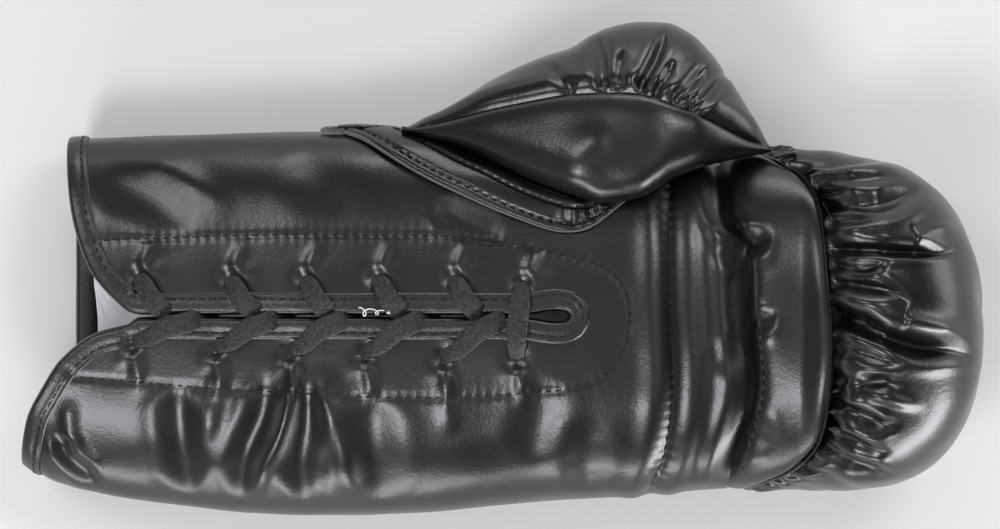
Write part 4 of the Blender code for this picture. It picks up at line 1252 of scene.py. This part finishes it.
# ------------------------------------------------------------------------------- floor and light
def build_floor():
    look, shader = new_material("table")[:2]
    shader.inputs["Base Color"].default_value = (0.70, 0.69, 0.68, 1)
    shader.inputs["Roughness"].default_value = 0.6
    half, level = 3, -0.0004
    mesh = bpy.data.meshes.new("table")
    mesh.from_pydata([(-half, -half, level), (half, -half, level), (half, half, level),
                      (-half, half, level)], [], [(0, 1, 2, 3)])
    mesh.materials.append(look)
    made = bpy.data.objects.new("table", mesh)
    bpy.context.scene.collection.objects.link(made)


def soft_light(name, place, aim, size, power, tint):
    data = bpy.data.lights.new(name, "AREA")
    data.shape = "RECTANGLE"
    data.size, data.size_y = size
    data.energy = power
    data.color = tint
    made = bpy.data.objects.new(name, data)
    made.location = place
    made.rotation_euler = (Vector(aim) - Vector(place)).to_track_quat("-Z", "Y").to_euler()
    bpy.context.scene.collection.objects.link(made)


build_floor()


def build_room():
    """A pale room: bright near the horizon, uneven above, and dim straight overhead."""
    world = bpy.data.worlds.new("studio")
    bpy.context.scene.world = world
    world.use_nodes = True
    nodes, links = world.node_tree.nodes, world.node_tree.links
    place = nodes.new("ShaderNodeTexCoord")
    split = nodes.new("ShaderNodeSeparateXYZ")
    ramp = nodes.new("ShaderNodeValToRGB")
    ramp.color_ramp.elements[0].position = 0.0
    ramp.color_ramp.elements[0].color = (0.95, 0.95, 0.95, 1)
    ramp.color_ramp.elements[1].position = 1.0
    ramp.color_ramp.elements[1].color = (0.52, 0.53, 0.57, 1)
    for at, level in ((0.12, 0.62), (0.35, 0.18), (0.62, 0.085), (0.80, 0.16), (0.93, 0.40)):
        ramp.color_ramp.elements.new(at).color = (level, level, level * 1.03, 1)
    clouds = nodes.new("ShaderNodeTexNoise")
    clouds.inputs["Scale"].default_value = 2.6
    clouds.inputs["Detail"].default_value = 1.0
    uneven = nodes.new("ShaderNodeMapRange")
    uneven.inputs["From Min"].default_value = 0.38
    uneven.inputs["From Max"].default_value = 0.62
    uneven.inputs["To Min"].default_value = 0.30
    uneven.inputs["To Max"].default_value = 2.3
    times = nodes.new("ShaderNodeVectorMath")
    times.operation = "SCALE"
    links.new(place.outputs["Generated"], split.inputs[0])
    links.new(place.outputs["Generated"], clouds.inputs["Vector"])
    links.new(split.outputs["Z"], ramp.inputs["Fac"])
    links.new(clouds.outputs["Fac"], uneven.inputs["Value"])
    links.new(ramp.outputs["Color"], times.inputs[0])
    links.new(uneven.outputs["Result"], times.inputs["Scale"])
    links.new(times.outputs["Vector"], nodes["Background"].inputs["Color"])
    nodes["Background"].inputs["Strength"].default_value = 1.0


build_room()
bpy.context.scene.view_settings.view_transform = "Standard"
TARGET = (0.03, 0, 0.03)
WHITE, COOL, COOLER = (1, 1, 1), (0.95, 0.97, 1.0), (0.93, 0.96, 1.0)
LIGHTS = [
    # name, place, size in metres, power in watts, tint
    ("window_low_right", (1.15, -1.05, 0.22), (1.3, 0.5), 30, COOL),
    ("window_right", (1.5, 0.5, 0.25), (1.0, 0.5), 5, WHITE),
    ("window_front", (-0.35, -1.4, 0.42), (0.8, 0.35), 9, WHITE),
    ("window_back", (0.2, 1.4, 0.5), (1.0, 0.4), 7, WHITE),
    ("window_high", (-0.52, -0.60, 1.20), (0.40, 0.38), 8, COOLER),
    ("ceiling_far", (0.62, 0.62, 1.35), (0.5, 0.3), 6, WHITE),
    ("ceiling_left", (-0.75, 0.55, 1.35), (0.5, 0.35), 5, WHITE),
]
for light, place, size, power, tint in LIGHTS:
    soft_light(light, place, TARGET, size, power, tint)
